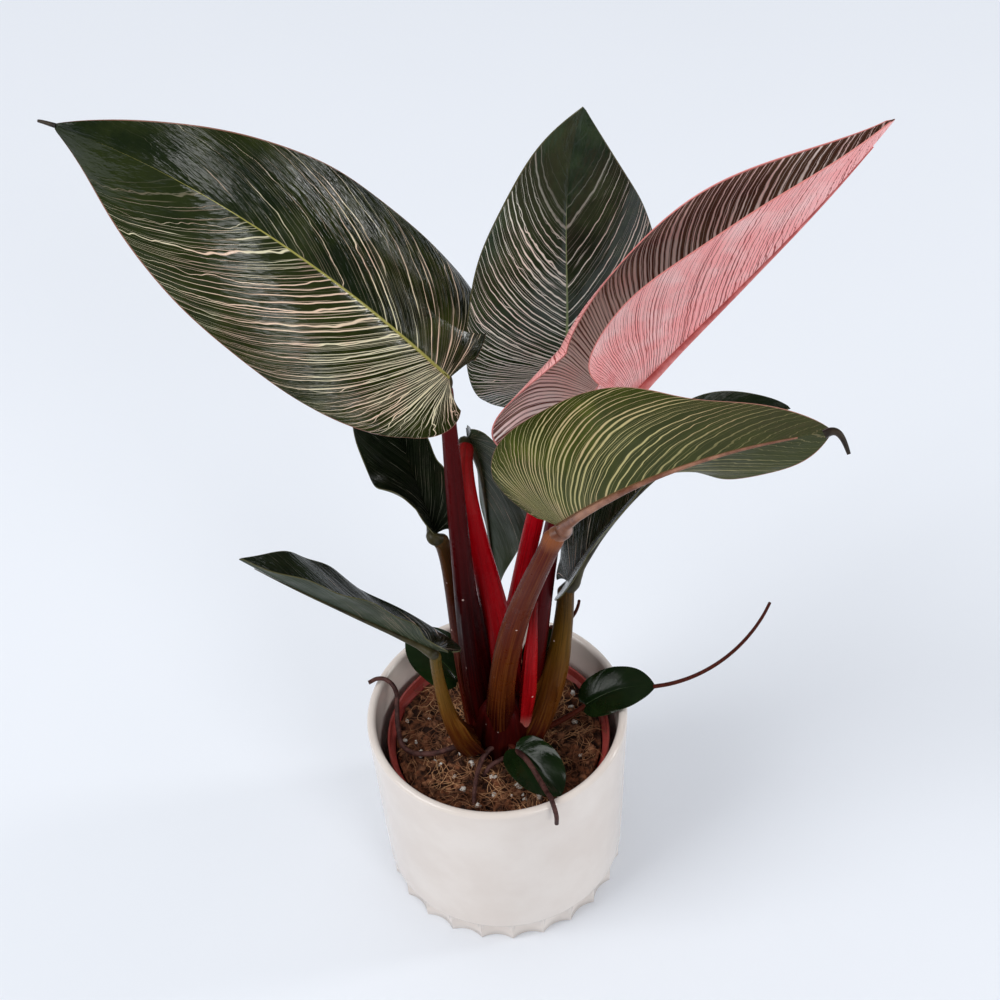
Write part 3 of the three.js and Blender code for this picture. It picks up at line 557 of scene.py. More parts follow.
LEAVES = {
    "leaf_front": {
        "midrib": [(30, -46, 287), (43, -103, 356), (81, -86, 359), (121, -107, 381)],
        "up": [(-0.59, 0.68, -0.06), (-0.19, 0.88, -0.25)],
        "right": half(41.5, 0.1, 0.27, 0.73, (86, 96)),
        "left": half(33, 0.02, 0.25, 0.87, (58, 12)),
        "wave": 0.6,
        "tail": [(118.5, -107.5, 380.2), (123.5, -106.5, 383.5), (125, -109.5, 379), (126.5, -112.4, 374.9)],
        "stalk": [(1, -4, 102), (3.5, -11, 191), (20, -49.5, 257), (30, -47, 285)],
        "radius": (8, 6.6, 6.2, 5.2, 4.2),
    },
    "leaf_right": {
        "midrib": [(39, 22, 183), (58, 30, 214), (87, 59, 234), (150, 54, 257)],
        "up": [(-0.53, 0.17, 0.72), (-0.43, 0.03, 0.75)],
        "right": half(31, 0.06, 0.3, 0.4, (18, 48)),
        "left": half(32, 0.05, 0.32, 0.79, (6, 32)),
        "wave": 0.8,
        "stalk": [(13, -6, 96), (27.5, -6.5, 112), (37, 16, 151.5), (38.6, 22, 180)],
        "radius": (7, 6.5, 6.5, 5, 4),
    },
    "leaf_low_left": {
        "midrib": [(-28, -14, 180), (-52, 3, 181), (-80, -16, 222), (-109, -18, 253)],
        "up": [(0.17, 0.48, 0.69), (0.4, 0.21, 0.93)],
        "right": half(25.5, 0.1, 0.37, 0.47, (7, 41)),
        "left": half(18, 0.1, 0.34, 0.64, (34, 43)),
        "wave": 0.8,
        "stalk": [(-13, -9, 96), (-24, -21.5, 119.5), (-28.5, -12, 158.5), (-27.5, -14.5, 178)],
        "radius": (7, 5.2, 4, 3.1, 2.8),
    },
    "leaf_hanging": {
        "midrib": [(-5, 60, 248), (5, 57, 237), (0, 84, 169), (6, 71, 132)],
        "up": [(0.46, 0.75, 0.23), (0.49, 0.78, 0.04)],
        "right": half(27, 0.04, 0.34, 0.35, (-4, -8)),
        "left": half(22, 0.02, 0.35, 0.4, (50, 46)),
        "wave": 0.8,
        "stalk": [(4, 3, 96), (12, 9.5, 169.5), (-13, 27, 228), (-5.5, 55, 250)],
        "radius": (8, 8.2, 6.8, 4.8, 3.4),
    },
    "leaf_left": {
        "midrib": [(-10.6, 20, 316), (-48.5, 35.5, 357), (-99, 12.5, 428.5), (-153.5, 34.2, 440.5)],
        "up": [(0.39, -0.58, 0.76), (0.31, -0.7, 0.05)],
        "right": half(50.5, 0.02, 0.11, 0.32, (13, 4), (-57, -32)),
        "left": half(50, 0.08, 0.29, 0.66, (22, -19), (-33, -12)),
        "wave": 0.8,
        "tail": [(-152.5, 34, 440.2), (-156, 35.2, 441), (-158, 36, 441.4), (-159.5, 36.5, 441.5)],
        "stalk": [(-5, 6, 96), (-13, -2.5, 155), (-12, 26, 259), (-12.6, 21.5, 312)],
        "radius": (8.5, 6.8, 5.2, 4.2, 3),
    },
    "leaf_pink": {
        "midrib": [(64, 16, 298), (94, 32, 322), (131.5, 2.5, 388), (158, -12, 445)],
        "up": [(-0.2, 0.18, 0.64), (-0.77, -0.3, 0.67)],
        "right": half(53.5, 0.19, 0.23, 0.38, (39, 67), (4, 44)),
        "left": half(66, 0.29, 0.21, 0.2, (30, 61), (165, 63)),
        "wave": 0.4,
        "stalk": [(12, 6, 96), (31, 11, 176.5), (24.5, 27, 248), (62, 18, 295)],
        "radius": (7, 5.6, 4.8, 4.2, 3.8),
    },
    "leaf_rear_left": {
        "midrib": [(-23, 25, 219), (-31, 63, 217.5), (-41, 81, 241), (-47, 50, 315)],
        "up": [(0.47, -0.56, 0.59), (0.13, -0.65, 0.62)],
        "right": half(24, 0.05, 0.27, 0.42, (80, 75)),
        "left": half(27.5, 0.07, 0.3, 0.65, (35, -1)),
        "wave": 0.8,
        "stalk": [(-10, 3, 96), (-19.5, 12.5, 157), (-15, 28.5, 196.5), (-22.2, 24.5, 217)],
        "radius": (6, 4.8, 4.2, 4, 3.6),
    },
    "leaf_back": {
        "midrib": [(42, 65.5, 272), (48, 53, 329), (38, 54, 381), (51, 47.5, 426)],
        "up": [(0.09, -0.82, 0.51), (0.15, -0.82, 0.56)],
        "right": half(44, 0.11, 0.32, 0.48, (0, 17), (-27, -23)),
        "left": half(50, 0.1, 0.29, 0.42, (7, 20), (14, -20)),
        "wave": 1,
        "stalk": [(6, 8, 96), (7, 24.5, 174), (37, 49.5, 235.5), (42, 67, 270)],
        "radius": (7, 5.6, 4.8, 4.4, 4),
    },
}

# %% [markdown]
# The rule works in two steps. It finds the margin point at which a side vein ends, and the midrib point at
# which it starts, which lies nearer to the stalk. Between them the vein bows a little. Then the flat half
# is turned up by its fold, rolled by its curl, waved at the margin and sunk along the midrib.

# %% The rule of a blade
FIRST_VEIN = 0.05
GROOVE_START = 0.05
GROOVE_DEPTH = 0.45
GROOVE_WIDTH = 1.3
NOTCH = (0.04, -0.012)
TIP_END = (0.012, 1)
EVEN_SHARE = 0.12
CROWDING = 4.2
WAVES = 4
LEFT_WAVE_SHIFT = 0.9


def margin_line(side, length):
    """The margin of a half, in millimetres across and along, as a dense row of points."""
    lobe, wide, tip = side["lobe"], side["wide"], side["tip"]
    beyond = 1 - wide
    to_widest = [NOTCH, (0.15, -1.55 * lobe), (1, -1.15 * lobe), (1, wide)]
    to_tip = [(1, wide), (1, wide + 0.42 * beyond), (tip, 1 - 0.2 * beyond), TIP_END]
    shares = np.vstack([curve_point(to_widest, FINE), curve_point(to_tip, FINE)[1:]])
    return shares * [side["width"], length]


def blade_rule(leaf):
    """The rule that bends a grid into this leaf's blade."""
    line = curve_point(leaf["midrib"], FINE)
    length, share = pace(line)
    tangents = np.gradient(line, axis=0)
    upward = np.array(leaf["up"], dtype=float)

    def place_half(side, sign, across, along):
        margin = margin_line(side, length)
        edge = at_share(margin, pace(margin)[1], along)
        reached = np.clip(edge[:, 1] / length, 0, 1)
        start = length * (EVEN_SHARE * reached + (1 - EVEN_SHARE) * reached**CROWDING)
        middle = np.stack([0.9 * edge[:, 0], start + 0.5 * (edge[:, 1] - start)], axis=1)
        flat = curve_point([np.stack([0 * start, start], axis=1), middle, edge], across)
        t = np.clip(flat[:, 1] / length, 0, 1)
        tangent = unit(at_share(tangents, share, t))
        point = at_share(line, share, t) + tangent * np.minimum(flat[:, 1], 0)[:, None]
        normal = upward[0] + (upward[1] - upward[0]) * t[:, None]
        normal = unit(normal - tangent * np.sum(normal * tangent, axis=1, keepdims=True))
        fold = np.radians(side["fold"][0] + (side["fold"][1] - side["fold"][0]) * t)
        curl = np.radians(side["curl"][0] + (side["curl"][1] - side["curl"][0]) * t)
        curl = np.where(np.abs(curl) < 1e-4, 1e-4, curl)
        width = side["width"]
        reach = flat[:, 0] / width
        out = width / curl * (np.sin(fold + curl * reach) - np.sin(fold))
        rise = width / curl * (np.cos(fold) - np.cos(fold + curl * reach))
        shift = LEFT_WAVE_SHIFT if sign < 0 else 0
        rise += leaf["wave"] * np.sin(2 * WAVES * math.pi * along + shift) * across**2
        groove = np.clip(t / GROOVE_START, 0, 1) * (1 - t)
        rise -= GROOVE_DEPTH * groove * np.exp(-((flat[:, 0] / GROOVE_WIDTH) ** 2))
        return point + sign * out[:, None] * np.cross(tangent, normal) + rise[:, None] * normal

    def rule(across, along):
        along = FIRST_VEIN + (1 - FIRST_VEIN) * along
        right_half = place_half(leaf["right"], 1, np.maximum(across, 0), along)
        left_half = place_half(leaf["left"], -1, np.maximum(-across, 0), along)
        points = np.where(across[:, None] > 0, right_half, left_half)
        return np.where(along[:, None] > 0.9999, line[-1], points)

    return rule


# %% [markdown]
# A blade is the bent grid with a thickness of half a millimetre. Under it runs the midrib, which is thick
# at the stalk and fades before the tip. It is a thread of its own, sunk into the blade, because a fold in
# the grid would also show on the upper face.

# %% Blades from grids
BLADE_THICKNESS = 0.5


def blade(name, leaf, across_steps, along_steps):
    """A blade with an upper and an under face, which can take a material each."""
    piece = bent_grid(name, across_steps, along_steps, blade_rule(leaf), crowd=1.5)
    weld(piece)
    piece.data.materials.append(None)
    piece.data.materials.append(None)
    shell = piece.modifiers.new("thickness", "SOLIDIFY")
    shell.thickness = BLADE_THICKNESS * MM
    shell.offset = 0
    shell.material_offset = 1
    apply_modifiers(piece)
    smooth(piece, 55)
    return piece


RIB_OVERLAP = 3
RIB_SHARES = np.array([0, 0.03, 0.07, 0.13, 0.2, 0.3, 0.4, 0.5, 0.6, 0.7, 0.8, 0.92])
RIB_TAPER = ([0, 0.07, 0.2, 0.5, 0.92], [1, 0.62, 0.44, 0.24, 0.08])
RIB_SUNK = 0.85


def midrib_line(leaf, shares, sunk):
    """Points under the midrib, each sunk by its own depth."""
    line = curve_point(leaf["midrib"], FINE)
    share = pace(line)[1]
    tangent = unit(at_share(np.gradient(line, axis=0), share, shares))
    upward = np.array(leaf["up"], dtype=float)
    normal = upward[0] + (upward[1] - upward[0]) * shares[:, None]
    normal = unit(normal - tangent * np.sum(normal * tangent, axis=1, keepdims=True))
    return at_share(line, share, shares) - normal * sunk[:, None]


def rib(name, leaf, start_radius):
    """The raised midrib along the underside. It leaves the stalk at nearly the stalk's width."""
    radii = start_radius * np.interp(RIB_SHARES, *RIB_TAPER)
    points = midrib_line(leaf, RIB_SHARES, RIB_SUNK * radii + GROOVE_DEPTH)
    foot, head = (np.array(point, dtype=float) for point in leaf["stalk"][-2:])
    points = np.vstack([head - RIB_OVERLAP * unit(head - foot), points])
    return rounded_line(name, points, [start_radius, *radii], roundness=4, between=6)


blades = {}
ribs = {}
for name, leaf in LEAVES.items():
    blades[name] = blade(f"{name}_face", leaf, 84, 120)
    ribs[name] = rib(f"{name}_rib", leaf, 0.9 * leaf["radius"][-1])
print(len(blades), "blades of", len(blades["leaf_left"].data.polygons), "faces each")

# %% [markdown]
# ## Stalks
# A philodendron's stalk is nearly round, with a shallow groove on the side that faces the crown. Low down,
# two thin wings run along that groove: they once sheathed the next leaf. A curve with a round bevel would
# miss both, so a grid is rolled round the stalk's line instead, and its radius changes with the angle.

# %% The rule of a stalk
GROOVE_SHARE = 0.13
GROOVE_SPREAD = 0.55
WING_ANGLE = 0.95
WING_SPREAD = 0.16
WING_FADE = 0.08
SWELLING_AT = 0.975
SWELLING_SPREAD = 0.02


def rolled_rule(controls, radius, inner_side, wing=0.0, wing_end=0.45, swelling=0.0):
    """Rolls a grid round a line. The groove and the wings are on the side that inner_side points to."""
    line = curve_point(controls, FINE)
    length, share = pace(line)
    tangents = np.gradient(line, axis=0)
    toward = np.array(inner_side, dtype=float)

    def rule(across, along):
        tangent = unit(at_share(tangents, share, along))
        inward = unit(toward - tangent * (tangent @ toward)[:, None])
        sideways = np.cross(tangent, inward)
        angle = math.pi * across
        size = np.interp(along, np.linspace(0, 1, len(radius)), radius)
        size = size * (1 + swelling * np.exp(-(((along - SWELLING_AT) / SWELLING_SPREAD) ** 2)))
        groove = GROOVE_SHARE * np.exp(-((angle / GROOVE_SPREAD) ** 2))
        fade = np.clip((wing_end - along) / WING_FADE, 0, 1)
        wings = wing * fade * np.exp(-(((np.abs(angle) - WING_ANGLE) / WING_SPREAD) ** 2))
        near_end = np.clip(np.minimum(along, 1 - along) * length / size, 0, 1)
        size = size * (1 - groove + wings) * np.sqrt(1 - (1 - near_end) ** 2)
        around = np.cos(angle)[:, None] * inward + np.sin(angle)[:, None] * sideways
        return at_share(line, share, along) + size[:, None] * around

    return rule


def stalk(name, leaf, wing):
    """A stalk whose groove faces the crown's axis."""
    foot = np.array(leaf["stalk"][0], dtype=float)
    head = np.array(leaf["stalk"][-1], dtype=float)
    inner_side = foot - head
    inner_side[2] = 0
    rule = rolled_rule(leaf["stalk"], leaf["radius"], inner_side, wing=wing, swelling=0.1)
    piece = bent_grid(name, 40, 110, rule)
    weld(piece, outward=True)
    smooth(piece, 60)
    return piece


WINGS = {"leaf_front": 0.0, "leaf_right": 0.5, "leaf_low_left": 0.6, "leaf_left": 0.25, "leaf_rear_left": 0.3}
stalks = {name: stalk(f"{name}_petiole", leaf, WINGS.get(name, 0.1)) for name, leaf in LEAVES.items()}
print(len(stalks), "stalks")

# %% [markdown]
# ## Small leaves, the sheath and the crown
# The plant's first leaves are small and round, on thin stalks, and two of them end in a thread. They are
# made as the large ones are, with fewer steps. A new leaf is still rolled in its red sheath beside the
# stalks.

# %% Small leaves
SMALL_LEAVES = {
    "small_leaf_left": {
        "midrib": [(-19, 20, 117), (-26, 26, 126), (-35, 33, 131), (-45, 40, 131)],
        "up": [(0.1, -0.45, 0.85), (0.1, -0.45, 0.85)],
        "right": half(14, 0.06, 0.42, 0.7, (12, 8)),
        "left": half(14, 0.06, 0.42, 0.7, (12, 8)),
        "stalk": [(-7, 8, 94), (-10, 13, 104), (-14, 17, 112), (-19, 20, 116.5)],
    },
    "small_leaf_right": {
        "midrib": [(46, 3, 109.5), (57, 4, 118), (68, 4, 123), (82, 2, 121)],
        "up": [(-0.15, -0.35, 0.9), (0.1, -0.35, 0.9)],
        "right": half(12, 0.06, 0.42, 0.7, (14, 8)),
        "left": half(12, 0.06, 0.42, 0.7, (14, 8)),
        "stalk": [(12, -3, 94), (24, -4, 101), (36, -1, 104), (46, 3, 109)],
        "thread": [(81, 2, 121.3), (110, -2, 128), (130, 3, 150), (137, 4, 176)],
    },
    "small_leaf_front": {
        "midrib": [(8, -17, 103), (14, -25, 104), (22, -35, 103), (29, -45, 98.5)],
        "up": [(-0.1, -0.25, 0.95), (0.1, -0.45, 0.9)],
        "right": half(13, 0.06, 0.42, 0.7, (16, 8)),
        "left": half(13, 0.06, 0.42, 0.7, (16, 8)),
        "stalk": [(3, -6, 94), (4, -9, 99), (5, -13, 102), (8, -17, 102.6)],
    },
    "small_leaf_rear": {
        "midrib": [(22, 22, 118), (26, 24, 126), (29, 27, 134), (31, 30, 142)],
        "up": [(-0.1, -0.75, 0.6), (-0.1, -0.75, 0.6)],
        "right": half(11, 0.06, 0.42, 0.7, (14, 8)),
        "left": half(11, 0.06, 0.42, 0.7, (14, 8)),
        "stalk": [(14, 12, 94), (17, 16, 102), (20, 20, 110), (22, 22, 117.6)],
        "thread": [(30.8, 29.8, 141.4), (38, 24, 146), (44, 22, 158), (45, 22, 168)],
    },
}
SMALL_RADIUS = (2, 1.3)
SMALL_RIB_RADIUS = 1.2
SMALL_WAVE = 0.3
THREAD_RADIUS = (1.1, 0.8)


def thread_of(name, controls, radii, steps):
    """A round thread along a curve of control points."""
    shares = np.linspace(0, 1, steps)
    points = curve_point(controls, shares)
    return rounded_line(name, points, np.interp(shares, [0, 1], radii), roundness=2, between=5)


small_blades = {}
small_stems = {}
for name, leaf in SMALL_LEAVES.items():
    leaf["wave"] = SMALL_WAVE
    small_blades[name] = blade(f"{name}_face", leaf, 36, 44)
    stems = [thread_of("stem", leaf["stalk"], SMALL_RADIUS, 8), rib("stem_rib", leaf, SMALL_RIB_RADIUS)]
    if "thread" in leaf:
        stems.append(thread_of("tail", leaf["thread"], THREAD_RADIUS, 12))
    small_stems[name] = join(stems, f"{name}_stems")
print(len(small_blades), "small leaves")

# %% [markdown]
# The sheath is a slim, winged spindle. It is rolled like a stalk, with wings for nearly its whole length.

# %% Sheath of the new leaf
SHEATH = [(13, -5, 106), (17, -5.5, 135), (18, -4, 165), (22.5, 3, 192)]
SHEATH_RADIUS = (3.4, 4.6, 3.4, 1.2)
sheath_rule = rolled_rule(SHEATH, SHEATH_RADIUS, (-1, 0, 0), wing=0.25, wing_end=0.9)
sheath = bent_grid("sheath_of_new_leaf", 32, 60, sheath_rule)
weld(sheath, outward=True)
smooth(sheath, 60)
print("sheath:", len(sheath.data.polygons), "faces")

# %% [markdown]
# The crown is what the stalks grow from, a stem as short as it is thick. Only its shoulders show, so it is
# a round grid with shallow ribs, where the feet of the stalks press into it.

# %% Crown
CROWN_RADIUS = (22, 12)
CROWN_BOTTOM = 74
CROWN_TOP = 128


def crown_rule(across, along):
    """A short thick stem that is ribbed where the stalks wrap it."""
    angle = math.pi * across
    size = CROWN_RADIUS[0] + (CROWN_RADIUS[1] - CROWN_RADIUS[0]) * along
    size = size * (1 + 0.05 * np.cos(7 * angle + 3 * along) + 0.03 * np.cos(13 * angle - 5 * along))
    size = size * np.sqrt(1 - (1 - np.clip((1 - along) * 6, 0, 1)) ** 2)
    size = np.where(along < 0.001, 0, size)
    height = CROWN_BOTTOM + (CROWN_TOP - CROWN_BOTTOM) * along
    return np.stack([CROWN[0] + size * np.cos(angle), CROWN[1] + size * np.sin(angle), height], axis=1)


crown = bent_grid("crown_stem", 96, 48, crown_rule)
weld(crown, outward=True)
smooth(crown, 60)
print("crown:", len(crown.data.polygons), "faces")

# %% [markdown]
# ## Aerial roots
# Thin brown roots leave the crown in the air. One climbs over both rims at the left, one hangs over the
# front lip, and two short ones dive into the soil. Each is a round thread through a few points.

# %% Aerial roots
AERIAL_ROOTS = {
    "aerial_root_left": [
        (-9, -6, 98), (-22, -10, 99), (-38, -12, 97.5), (-49, -7, 97), (-52, 3, 101), (-52, 11, 108),
        (-52, 17, 115), (-56, 22, 117.6), (-61, 24, 117.4), (-66, 22, 117),
    ],
    "aerial_root_front": [
        (6, -13, 99), (13, -27, 106.5), (19, -42, 108), (22, -53, 112), (23, -59, 117), (24, -64, 117.4),
        (25, -67.5, 114), (25, -68, 108),
    ],
    "aerial_root_short": [(-2, -12, 101), (-7, -16, 100), (-11, -23, 98), (-14, -35, 95.5), (-15, -42, 91)],
    "aerial_root_low": [(6, -14, 100), (4.5, -18.5, 99.5), (0, -20.5, 99), (-5, -22.5, 97.5), (-9, -25, 93)],
}
ROOT_RADIUS = (1.5, 1.1)

roots = {}
for name, points in AERIAL_ROOTS.items():
    radii = np.linspace(*ROOT_RADIUS, len(points))
    roots[name] = rounded_line(f"{name}_strand", points, radii, roundness=3, between=8)
    smooth(roots[name], 60)
print(len(roots), "aerial roots")

# %% [markdown]
# ## Looks
# The plant's looks are colour, gloss and fine relief that follow its growth. Painted pictures could give
# them, but a rule gives the same stripe at any distance. Each rule below is a small tree of nodes. Colours
# are written as they are seen on a screen, from 0 to 255, and turned into the light that a renderer adds
# up.

# %% Helpers for looks
def seen(red, green, blue):
    """A colour as seen on a screen, as linear light."""
    shares = [c / 255 for c in (red, green, blue)]
    return (*[s / 12.92 if s < 0.04045 else ((s + 0.055) / 1.055) ** 2.4 for s in shares], 1.0)


def connect(tree, made, inputs):
    """Links or sets each of a node's inputs."""
    for socket, value in inputs.items():
        if isinstance(value, bpy.types.NodeSocket):
            tree.links.new(value, made.inputs[socket])
        else:
            made.inputs[socket].default_value = value
    return made


def node(tree, kind, inputs=None, **settings):
    """A node with its settings, and each input either linked or set."""
    made = tree.nodes.new(kind)
    for name, value in settings.items():
        setattr(made, name, value)
    return connect(tree, made, inputs or {})


def maths(tree, operation, first, second=0.0, third=0.0):
    return node(tree, "ShaderNodeMath", {0: first, 1: second, 2: third}, operation=operation).outputs[0]


def ramp(tree, value, low, high, start=0.0, end=1.0):
    """Goes softly from start to end while the value goes from low to high."""
    steps = {"Value": value, "From Min": low, "From Max": high, "To Min": start, "To Max": end}
    return node(tree, "ShaderNodeMapRange", steps, interpolation_type="SMOOTHSTEP").outputs[0]


def blend(tree, share, first, second):
    """Goes from the first colour to the second."""
    made = node(tree, "ShaderNodeMix", {0: share, 6: first, 7: second}, data_type="RGBA")
    return made.outputs[2]


def grain(tree, place, scale, detail=3.0, roughness=0.55, distortion=0.0):
    """Cloudy noise, from 0 to 1."""
    settings = {"Vector": place, "Scale": scale, "Detail": detail, "Roughness": roughness}
    return node(tree, "ShaderNodeTexNoise", {**settings, "Distortion": distortion}).outputs[0]


def place_of(tree):
    """Where a point lies in the piece's own frame, in metres."""
    return node(tree, "ShaderNodeTexCoord").outputs["Object"]


def channels(tree, color):
    """The red, green and blue shares of a colour."""
    return node(tree, "ShaderNodeSeparateColor", {0: color}).outputs


def rare_dots(tree, scale, channel, rarity, outer, inner):
    """Small round dots in a field of cells, of which few are kept by a draw."""
    cells = node(tree, "ShaderNodeTexVoronoi", {"Vector": place_of(tree), "Scale": scale, "Randomness": 1.0})
    kept = maths(tree, "GREATER_THAN", channels(tree, cells.outputs["Color"])[channel], rarity)
    return maths(tree, "MULTIPLY", kept, ramp(tree, cells.outputs["Distance"], outer, inner))


def uneven(tree, scale, low, high):
    """A value that changes cloudily between two others."""
    return ramp(tree, grain(tree, place_of(tree), scale, 3.0), 0.3, 0.7, low, high)


def combine(tree, x=0.0, y=0.0, z=0.0):
    return node(tree, "ShaderNodeCombineXYZ", {0: x, 1: y, 2: z}).outputs[0]


def new_group(name, inputs, outputs):
    """An effect that several materials share, with numbers in and out, and its own two end nodes."""
    tree = bpy.data.node_groups.new(name, "ShaderNodeTree")
    for label, value in inputs.items():
        socket = tree.interface.new_socket(label, in_out="INPUT", socket_type="NodeSocketFloat")
        socket.default_value = value
    for label in outputs:
        tree.interface.new_socket(label, in_out="OUTPUT", socket_type="NodeSocketFloat")
    return tree, node(tree, "NodeGroupInput").outputs, node(tree, "NodeGroupOutput").inputs


def use(tree, group, inputs):
    """Places a shared effect in a tree and gives its outputs."""
    return connect(tree, node(tree, "ShaderNodeGroup", node_tree=group), inputs).outputs


def new_look(name, specular=0.5):
    """An empty material: its tree and its shader."""
    material = bpy.data.materials.new(name)
    material.use_nodes = True
    shader = material.node_tree.nodes["Principled BSDF"]
    shader.inputs["Specular IOR Level"].default_value = specular
    return material, material.node_tree, shader


def finish(tree, shader, color, roughness, height=None, depth=0.0):
    """Links the colour and the roughness, and a relief if there is one. Its depth is in millimetres."""
    tree.links.new(color, shader.inputs["Base Color"])
    tree.links.new(roughness, shader.inputs["Roughness"])
    if height is not None:
        bump = node(tree, "ShaderNodeBump", {"Height": height, "Distance": depth * MM, "Strength": 1.0})
        tree.links.new(bump.outputs[0], shader.inputs["Normal"])


def give(piece, *materials):
    """Sets the piece's materials, in the order of its slots."""
    while len(piece.data.materials) < len(materials):
        piece.data.materials.append(None)
    for slot, material in enumerate(materials):
        piece.data.materials[slot] = material


# %% [markdown]
# The first shared effect is a leaf's own map: how far a point lies from the midrib to the margin, how far
# along the margin its side vein ends, and on which half it is.

# %% Leaf map
leaf_map, _, made = new_group("leaf map", {}, ["Across", "Along", "Right half"])
split = node(leaf_map, "ShaderNodeSeparateXYZ", {0: node(leaf_map, "ShaderNodeUVMap").outputs[0]})
signed = maths(leaf_map, "MULTIPLY_ADD", split.outputs[0], 2.0, -1.0)
leaf_map.links.new(maths(leaf_map, "ABSOLUTE", signed), made["Across"])
leaf_map.links.new(split.outputs[1], made["Along"])
leaf_map.links.new(maths(leaf_map, "GREATER_THAN", signed, 0.0), made["Right half"])
print("leaf map:", len(leaf_map.nodes), "nodes")

# %% [markdown]
# The second is the stripes. Between the side veins the leaf lacks green in thin lines, which start at the
# midrib, wander a little, break up into dashes and fade out towards the margin. The blade is divided into
# as many lanes as there may be lines, and a draw decides for each lane where its line lies, how wide it is
# and where it shows.

# %% Vein stripes
STRIPE_INPUTS = {
    "Across": 0.0, "Along": 0.0, "Right half": 0.0, "Lanes": 60.0, "Width": 0.2, "Most": 0.17,
    "Presence": 0.5, "Break up": 2.0, "Wiggle": 0.3, "Seed": 0.0,
}
stripes, given, made = new_group("vein stripes", STRIPE_INPUTS, ["Line"])

# Each line wanders slowly, less so towards the tip, and wiggles a little on top of that.
half_seed = maths(stripes, "MULTIPLY_ADD", given["Right half"], 17.0, given["Seed"])
slow_place = combine(stripes, maths(stripes, "MULTIPLY", given["Along"], 6.0),
                     maths(stripes, "MULTIPLY", given["Across"], 2.5), half_seed)
calm = ramp(stripes, given["Along"], 0.3, 0.9, 1.6, 0.3)
wander = maths(stripes, "MULTIPLY", grain(stripes, slow_place, 1.0, 1.0), calm)
quick_place = combine(stripes, maths(stripes, "MULTIPLY", given["Along"], 16.0),
                      maths(stripes, "MULTIPLY", given["Across"], 9.0), half_seed)
wander = maths(stripes, "MULTIPLY_ADD", grain(stripes, quick_place, 1.0, 1.0), given["Wiggle"], wander)
lane = maths(stripes, "MULTIPLY_ADD", given["Along"], given["Lanes"], wander)

# The lane's number is the seed of its three draws: the line's place in the lane, its presence and its width.
number = maths(stripes, "FLOOR", lane)
lane_place = combine(stripes, number, half_seed)
drawn = node(stripes, "ShaderNodeTexWhiteNoise", {"Vector": lane_place}, noise_dimensions="3D")
draws = channels(stripes, drawn.outputs["Color"])
middle = maths(stripes, "MULTIPLY_ADD", draws[0], 0.4, 0.3)
offset = maths(stripes, "ABSOLUTE", maths(stripes, "SUBTRACT", maths(stripes, "FRACT", lane), middle))

# Noise along the line breaks it up into dashes.
along_line = combine(stripes, maths(stripes, "MULTIPLY", number, 3.7),
                     maths(stripes, "MULTIPLY", given["Across"], given["Break up"]), half_seed)
shown = grain(stripes, along_line, 1.0, 1.0)
level = maths(stripes, "SUBTRACT", maths(stripes, "MULTIPLY_ADD", draws[1], 0.4, 0.8), given["Presence"])
presence = ramp(stripes, maths(stripes, "SUBTRACT", shown, level), 0.0, 0.2)

# A line tapers towards the margin. Lanes are narrow near the midrib, so its share of the lane grows there.
taper = ramp(stripes, given["Across"], 0.05, 1.0, 1.5, 0.35)
boldness = maths(stripes, "MULTIPLY_ADD", maths(stripes, "POWER", draws[2], 3.0), 1.6, 0.45)
width = maths(stripes, "MULTIPLY", maths(stripes, "MULTIPLY", boldness, given["Width"]), taper)
crowding = maths(stripes, "MULTIPLY_ADD", maths(stripes, "POWER", given["Along"], 3.2), 3.7, 0.12)
spacing = maths(stripes, "ADD", given["Across"],
                maths(stripes, "MULTIPLY", crowding, maths(stripes, "SUBTRACT", 1.0, given["Across"])))
width = maths(stripes, "DIVIDE", maths(stripes, "MULTIPLY", width, presence), spacing)
width = maths(stripes, "MAXIMUM", maths(stripes, "MINIMUM", width, given["Most"]), 0.001)
line = ramp(stripes, maths(stripes, "DIVIDE", offset, width), 1.0, 0.4)
stripes.links.new(maths(stripes, "MULTIPLY", line, presence), made["Line"])
print("vein stripes:", len(stripes.nodes), "nodes")

# %% [markdown]
# The third is what a stalk is made of: long strands, which show as streaks of another colour and as a faint
# ribbing. Its map wraps round the stalk, so that the streaks meet where the grid's two edges meet.

# %% Strands
strands, given, made = new_group(
    "strands", {"Fineness": 8.0, "Stretch": 5.0, "Seed": 0.0}, ["Streak", "Along", "Speck"])
split = node(strands, "ShaderNodeSeparateXYZ", {0: node(strands, "ShaderNodeUVMap").outputs[0]}).outputs
turn = maths(strands, "MULTIPLY", split[0], 2 * math.pi)
round_x = maths(strands, "MULTIPLY", maths(strands, "COSINE", turn), given["Fineness"])
round_y = maths(strands, "MULTIPLY", maths(strands, "SINE", turn), given["Fineness"])
lengthwise = maths(strands, "MULTIPLY_ADD", split[1], given["Stretch"], given["Seed"])
streak = grain(strands, combine(strands, round_x, round_y, lengthwise), 1.0, 4.0, 0.6)
strands.links.new(streak, made["Streak"])
strands.links.new(split[1], made["Along"])
strands.links.new(rare_dots(strands, 160.0, 0, 0.8, 0.11, 0.05), made["Speck"])
print("strands:", len(strands.nodes), "nodes")


# %% [markdown]
# ### The faces of the leaves
# A face is put together from its ground, three layers of lines as thin as a hair, fine and bold, the midrib
# and the margin. The lines' relief is slight, but the blade is also quilted between its side veins, and
# that breaks its glints into streaks.

